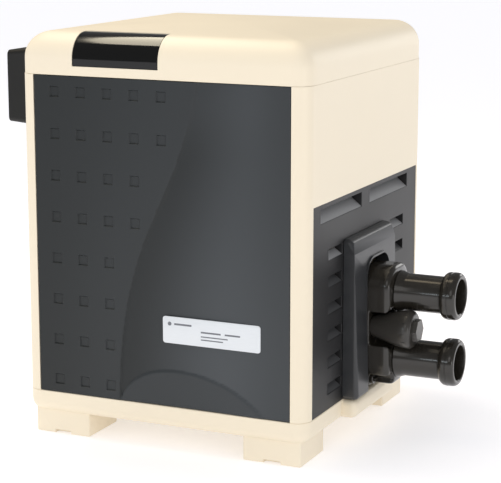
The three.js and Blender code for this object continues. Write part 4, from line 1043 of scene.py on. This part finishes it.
slat_screen = slab("slat_screen", SCREEN_LOW, SCREEN_HIGH)
screen_slots = bmesh.new()
slat_pitch = (SCREEN_HIGH.y - SCREEN_LOW.y - 0.006) / SLATS
for step in range(SLATS):
    front = SCREEN_LOW.y + SCREEN_RIM + step * slat_pitch
    add_block(screen_slots, (SCREEN_LOW.x - 0.005, front, SCREEN_LOW.z + SCREEN_RIM),
              (SCREEN_LOW.x + 0.005, front + slat_pitch - SLAT_WIDTH, SCREEN_HIGH.z - SCREEN_RIM))
combine(slat_screen, make("slat_openings", screen_slots))
soften(slat_screen, 0.0006, 2, 40)
dress(slat_screen, hood_plastic)
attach(slat_screen, "cabinet")
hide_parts("hood_screen")

# ------------------------------------------------------------
# Control cover: a smoked, nearly black glossy door that follows the lid's rounded front edge. It turns up
# on a barrel along its rear edge.
DOOR_LOW, DOOR_HIGH = (Vector(corner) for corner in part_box("control_door"))
HINGE_Y = MIDDLE.y - 0.2175
HINGE_Z = 0.6486
BARREL_OUTER = 0.0044
PIN_HOLE = 0.00195
hinge_centre = Vector((0.0, HINGE_Y, HINGE_Z))

smoked_gloss = plastic("smoked_gloss", (0.003, 0.003, 0.003), 0.09, mottle=0.15, grain=0.00002)
control_cover = lid_surface("control_cover", 0.0003, LID_LOW.z)
combine(control_cover, lid_surface("cover_inside", SKIN, LID_LOW.z - 0.01))
combine(control_cover, slab("cover_part", (DOOR_LOW.x, LID_LOW.y - 0.01, WINDOW_BOTTOM + 0.001),
                            (DOOR_HIGH.x, HINGE_Y - 0.0005, LID_HIGH.z + 0.01)), "INTERSECT")
combine(control_cover, plug("barrel", hinge_centre, BARREL_OUTER, DOOR_LOW.x, DOOR_HIGH.x), "UNION")
for start in (DOOR_LOW.x - 0.001, DOOR_HIGH.x - 0.013):
    combine(control_cover, plug("pin_hole", hinge_centre, PIN_HOLE, start, start + 0.014))
soften(control_cover, 0.0005, 2, 40)
dress(control_cover, smoked_gloss)
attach(control_cover, "control_door")
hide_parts("control_door")

# ------------------------------------------------------------
# Control panel under the cover: a charcoal pod with a sloping fascia, a dark display showing two plain
# digits, and six soft grey keys that move square to the slope. The symbols are plain arrows and bars.
FASCIA_ORIGIN = Vector((MIDDLE.x - 0.075, MIDDLE.y - 0.2287, 0.6183))
FASCIA_TURN = Matrix.Rotation(math.pi / 4, 4, "X")
FASCIA_PLACE = Matrix.Translation(FASCIA_ORIGIN) @ FASCIA_TURN
KEY_WIDTH = 0.015
KEY_HEIGHT = 0.009
KEY_PROUD = 0.002
KEY_PITCH = 0.021
KEY_ROW = -0.009
DISPLAY_ROW = 0.0095
GLASS_PROUD = 0.0004


def fascia_blocks(boxes):
    """A mesh of boxes given as (x, up, low, high, width, height), still lying flat."""
    bm = bmesh.new()
    for x, up, low, high, width, height in boxes:
        add_block(bm, (x - width / 2, up - height / 2, low), (x + width / 2, up + height / 2, high))
    return bm


def on_fascia(name, bm, material):
    """Turns a flat mesh on to the fascia's slope and makes a piece of it."""
    bmesh.ops.transform(bm, matrix=FASCIA_PLACE, verts=bm.verts)
    return make(name, bm, material)


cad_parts["control_pod"].material_slots[0].material = charcoal_plastic

glass_bm = fascia_blocks([(0.0, DISPLAY_ROW, -0.003, GLASS_PROUD, 0.084, 0.016)])
round_edges(glass_bm, glass_bm.edges[:], 0.0006, 2)
display_glass = on_fascia("display_glass", glass_bm,
                          plastic("display_glass", (0.018, 0.030, 0.026), 0.07, grain=0.00001))
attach(display_glass, "cabinet")
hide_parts("display_window")

SEGMENTS = {"2": "abged", "8": "abcdefg"}
SEGMENT_LENGTH = 0.0040
SEGMENT_WIDTH = 0.0008
SEGMENT_ACROSS = 0.0027
SEGMENT_UP = 0.0046
# Each segment: its place across and up, and 1 if it lies level.
segment_places = {"a": (0, 1, 1), "g": (0, 0, 1), "d": (0, -1, 1), "f": (-1, 0.5, 0), "b": (1, 0.5, 0),
                  "e": (-1, -0.5, 0), "c": (1, -0.5, 0)}
digit_boxes = []
for digit, centre_x in (("2", -0.0045), ("8", 0.0045)):
    for letter in SEGMENTS[digit]:
        across, up, level = segment_places[letter]
        width, height = (SEGMENT_LENGTH, SEGMENT_WIDTH) if level else (SEGMENT_WIDTH, SEGMENT_LENGTH)
        digit_boxes.append((centre_x + across * SEGMENT_ACROSS, DISPLAY_ROW + up * SEGMENT_UP,
                            GLASS_PROUD, GLASS_PROUD + 0.00015, width, height))
display_digits = on_fascia("display_digits", fascia_blocks(digit_boxes),
                           plastic("digit_segments", (0.30, 0.72, 0.55), 0.4))
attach(display_digits, "cabinet")

key_rubber = plastic("key_rubber", (0.31, 0.32, 0.33), 0.55, mottle=0.04, grain=0.0001)
symbol_white = plastic("symbol_white", (0.80, 0.80, 0.78), 0.6)
# Each bar of a symbol: its place across and up from the key's middle, its width and its height.
key_symbols = (
    ((0.0, 0.0, 0.0060, 0.0010), (0.0, 0.0, 0.0010, 0.0060)),
    ((0.0, 0.0, 0.0060, 0.0010),),
    ((0.0, 0.0015, 0.0060, 0.0008), (0.0, 0.0, 0.0060, 0.0008), (0.0, -0.0015, 0.0060, 0.0008)),
    ((-0.0012, 0.0, 0.0010, 0.0050), (0.0012, 0.0, 0.0010, 0.0050)),
    ((0.0, 0.0, 0.0034, 0.0034),),
    ((0.0, -0.0016, 0.0060, 0.0010), (0.0, 0.0012, 0.0010, 0.0036)),
)
for number, symbol in enumerate(key_symbols, 1):
    key_x = (number - 3.5) * KEY_PITCH
    key_bm = fascia_blocks([(key_x, KEY_ROW, -0.0035, KEY_PROUD, KEY_WIDTH, KEY_HEIGHT)])
    upright = [e for e in key_bm.edges if abs(e.verts[0].co.z - e.verts[1].co.z) > 0.001]
    round_edges(key_bm, upright, 0.0022, 4)
    crown = [e for e in key_bm.edges if all(v.co.z > KEY_PROUD - 1e-5 for v in e.verts)]
    round_edges(key_bm, crown, 0.0007, 3)
    key = on_fascia(f"soft_key_{number}", key_bm, key_rubber)
    flange_bm = fascia_blocks([(key_x, KEY_ROW, -0.0046, -0.0034, KEY_WIDTH + 0.003, KEY_HEIGHT + 0.003)])
    combine(key, on_fascia("key_flange", flange_bm, None), "UNION")
    dress(key, key_rubber)
    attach(key, f"key_{number}")
    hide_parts(f"key_{number}")
    marks = [(key_x + x, KEY_ROW + up, KEY_PROUD - 0.00005, KEY_PROUD + 0.0001, width, height)
             for x, up, width, height in symbol]
    key_mark = on_fascia(f"key_mark_{number}", fascia_blocks(marks), symbol_white)
    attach(key_mark, f"key_{number}")

# ------------------------------------------------------------
# Rear cover: a flat cream sheet held by four screws, with two banks of round-ended air slots and holes for
# the gas pipe and the cable gland.
REAR_LOW, REAR_HIGH = (Vector(corner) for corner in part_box("rear_panel"))
SLOT_BANKS = (-0.100, 0.100)
SLOT_LEVELS = (0.420, 0.450, 0.480, 0.510)
REAR_SLOT_LENGTH = 0.160
REAR_SLOT_HEIGHT = 0.009
GAS_HOLE_RADIUS = 0.0142
GLAND_HOLE_RADIUS = 0.0105
SCREW_HOLE_RADIUS = 0.0026
GAS_HOLE = Vector((MIDDLE.x + 0.120, 0.0, 0.150))
GLAND_HOLE = Vector((MIDDLE.x - 0.120, 0.0, 0.150))

rear_cover = slab("rear_cover", REAR_LOW, REAR_HIGH)
rear_slots = bmesh.new()
for bank_x in SLOT_BANKS:
    for level in SLOT_LEVELS:
        slot_bm = bmesh.new()
        centre_x = MIDDLE.x + bank_x
        add_block(slot_bm, (centre_x - REAR_SLOT_LENGTH / 2, REAR_HIGH.y - 0.01, level),
                  (centre_x + REAR_SLOT_LENGTH / 2, REAR_HIGH.y + 0.01, level + REAR_SLOT_HEIGHT))
        ends = [e for e in slot_bm.edges if abs(e.verts[0].co.y - e.verts[1].co.y) > 0.01]
        round_edges(slot_bm, ends, REAR_SLOT_HEIGHT / 2 - 0.00005, 6)
        slot_mesh = bpy.data.meshes.new("slot")
        slot_bm.to_mesh(slot_mesh)
        slot_bm.free()
        rear_slots.from_mesh(slot_mesh)
        bpy.data.meshes.remove(slot_mesh)
combine(rear_cover, make("rear_slots", rear_slots))


def hole_along_y(name, x, z, radius):
    bm = bmesh.new()
    bmesh.ops.create_cone(bm, cap_ends=True, segments=36, radius1=radius, radius2=radius, depth=0.03)
    bmesh.ops.rotate(bm, cent=(0, 0, 0), matrix=Matrix.Rotation(math.pi / 2, 3, "X"), verts=bm.verts)
    bmesh.ops.translate(bm, vec=(x, REAR_HIGH.y, z), verts=bm.verts)
    return make(name, bm)


combine(rear_cover, hole_along_y("gas_hole", GAS_HOLE.x, GAS_HOLE.z, GAS_HOLE_RADIUS))
combine(rear_cover, hole_along_y("gland_hole", GLAND_HOLE.x, GLAND_HOLE.z, GLAND_HOLE_RADIUS))
for number in range(1, 5):
    screw_low, screw_high = (Vector(corner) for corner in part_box(f"rear_screw_{number}"))
    centre = (screw_low + screw_high) / 2
    combine(rear_cover, hole_along_y("screw_hole", centre.x, centre.z, SCREW_HOLE_RADIUS))
soften(rear_cover, 0.0007, 2, 40)
dress(rear_cover, cream_plastic)
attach(rear_cover, "cabinet")
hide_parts("rear_panel")

# ------------------------------------------------------------
# Rear fixings: four pan-head screws with crossed recesses, turned from steel.
def metal(name, colour, roughness, scratch=(220.0, 220.0, 220.0), streak=0.10, pits=0.0001):
    """Bare metal: a streaked tint, uneven brightness and fine pits."""
    finish = Finish(name)
    finish.shader.inputs["Metallic"].default_value = 1.0
    finish.stretch(scratch)
    grain = finish.noise(1.0, 5.0)
    finish.tint(grain, colour, 1 - streak, 1 + streak)
    finish.gloss(grain, roughness * 0.75, roughness * 1.25)
    finish.bump(grain, 0.4, pits)
    return finish.material


SHANK_OUTER = 0.0021
HEAD_OUTER = 0.0050
CROSS_LENGTH = 0.0056
CROSS_WIDTH = 0.0013
turned_steel = metal("turned_steel", (0.62, 0.63, 0.64), 0.32, (60.0, 60.0, 900.0))
for number in range(1, 5):
    screw_low, screw_high = (Vector(corner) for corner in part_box(f"rear_screw_{number}"))
    centre = (screw_low + screw_high) / 2
    head = REAR_HIGH.y + 0.0003
    screw_bm = bmesh.new()
    profile = ((screw_low.y, 0.0), (screw_low.y, SHANK_OUTER), (head, SHANK_OUTER), (head, HEAD_OUTER),
               (head + 0.0008, HEAD_OUTER), (head + 0.0016, 0.0043), (screw_high.y, 0.0028),
               (screw_high.y, 0.0))
    ring = [screw_bm.verts.new((centre.x, y, centre.z + radius)) for y, radius in profile]
    edges = [screw_bm.edges.new((ring[k], ring[k + 1])) for k in range(len(ring) - 1)]
    bmesh.ops.spin(screw_bm, geom=ring + edges, cent=centre, axis=(0, 1, 0), angle=math.tau, steps=36,
                   use_merge=True, use_duplicate=False)
    bmesh.ops.remove_doubles(screw_bm, verts=screw_bm.verts, dist=1e-6)
    bmesh.ops.recalc_face_normals(screw_bm, faces=screw_bm.faces)
    pan_screw = make(f"pan_screw_{number}", screw_bm)
    for half_x, half_z in ((CROSS_LENGTH / 2, CROSS_WIDTH / 2), (CROSS_WIDTH / 2, CROSS_LENGTH / 2)):
        combine(pan_screw, slab("recess", (centre.x - half_x, screw_high.y - 0.0014, centre.z - half_z),
                                (centre.x + half_x, screw_high.y + 0.001, centre.z + half_z)))
    dress(pan_screw, turned_steel)
    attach(pan_screw, "cabinet")
    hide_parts(f"rear_screw_{number}")

# ------------------------------------------------------------
# Everything inside the jacket keeps its engineered form: the flue, the combustion chamber with its copper
# coil, the burner, blower and gas train, and the electrical parts. Each gets the finish of what it is.
spun_steel = metal("spun_steel", (0.58, 0.59, 0.60), 0.34, (40.0, 40.0, 700.0))
galvanised = metal("galvanised", (0.52, 0.54, 0.55), 0.42, (28.0, 28.0, 28.0), 0.16)
drawn_copper = metal("drawn_copper", (0.72, 0.40, 0.26), 0.30, (90.0, 90.0, 90.0), 0.14)
cast_aluminium = metal("cast_aluminium", (0.72, 0.73, 0.74), 0.48, (260.0, 260.0, 260.0), 0.08, 0.0003)
turned_brass = metal("turned_brass", (0.72, 0.57, 0.30), 0.28, (500.0, 80.0, 80.0), 0.08)
moulded_rubber = plastic("moulded_rubber", (0.020, 0.020, 0.020), 0.72, mottle=0.10)
motor_enamel = plastic("motor_enamel", (0.27, 0.29, 0.30), 0.38, mottle=0.05, coat=0.2)
solder_mask = plastic("solder_mask", (0.05, 0.18, 0.08), 0.35, mottle=0.12)
glazed_ceramic = plastic("glazed_ceramic", (0.80, 0.79, 0.75), 0.18, mottle=0.03, coat=0.3)
switch_grey = plastic("switch_grey", (0.33, 0.34, 0.35), 0.5)

node_finishes = {
    spun_steel: ("combustion_chamber", "chamber_lid", "burner", "bypass_spring"),
    turned_steel: ("blower_shaft", "hinge_pin_left", "hinge_pin_right"),
    galvanised: ("flue_duct", "chamber_stand", "gas_pipe", "gas_cap", "electrics_plate"),
    drawn_copper: ("heat_exchanger_coil", "tube_sheet"),
    cast_aluminium: ("blower_housing", "blower_impeller", "air_gas_mixer", "gas_valve"),
    turned_brass: ("bypass_plunger", "gas_nozzle", "high_limit_switch"),
    moulded_rubber: ("inlet_gasket", "outlet_gasket", "gas_valve_knob", "cable_gland"),
    motor_enamel: ("blower_motor", "transformer"),
    hood_plastic: ("ignition_module",),
    switch_grey: ("pressure_switch",),
    glazed_ceramic: ("igniter",),
    solder_mask: ("control_board",),
}
for finish, names in node_finishes.items():
    for name in names:
        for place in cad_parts[name].material_slots:
            place.material = finish
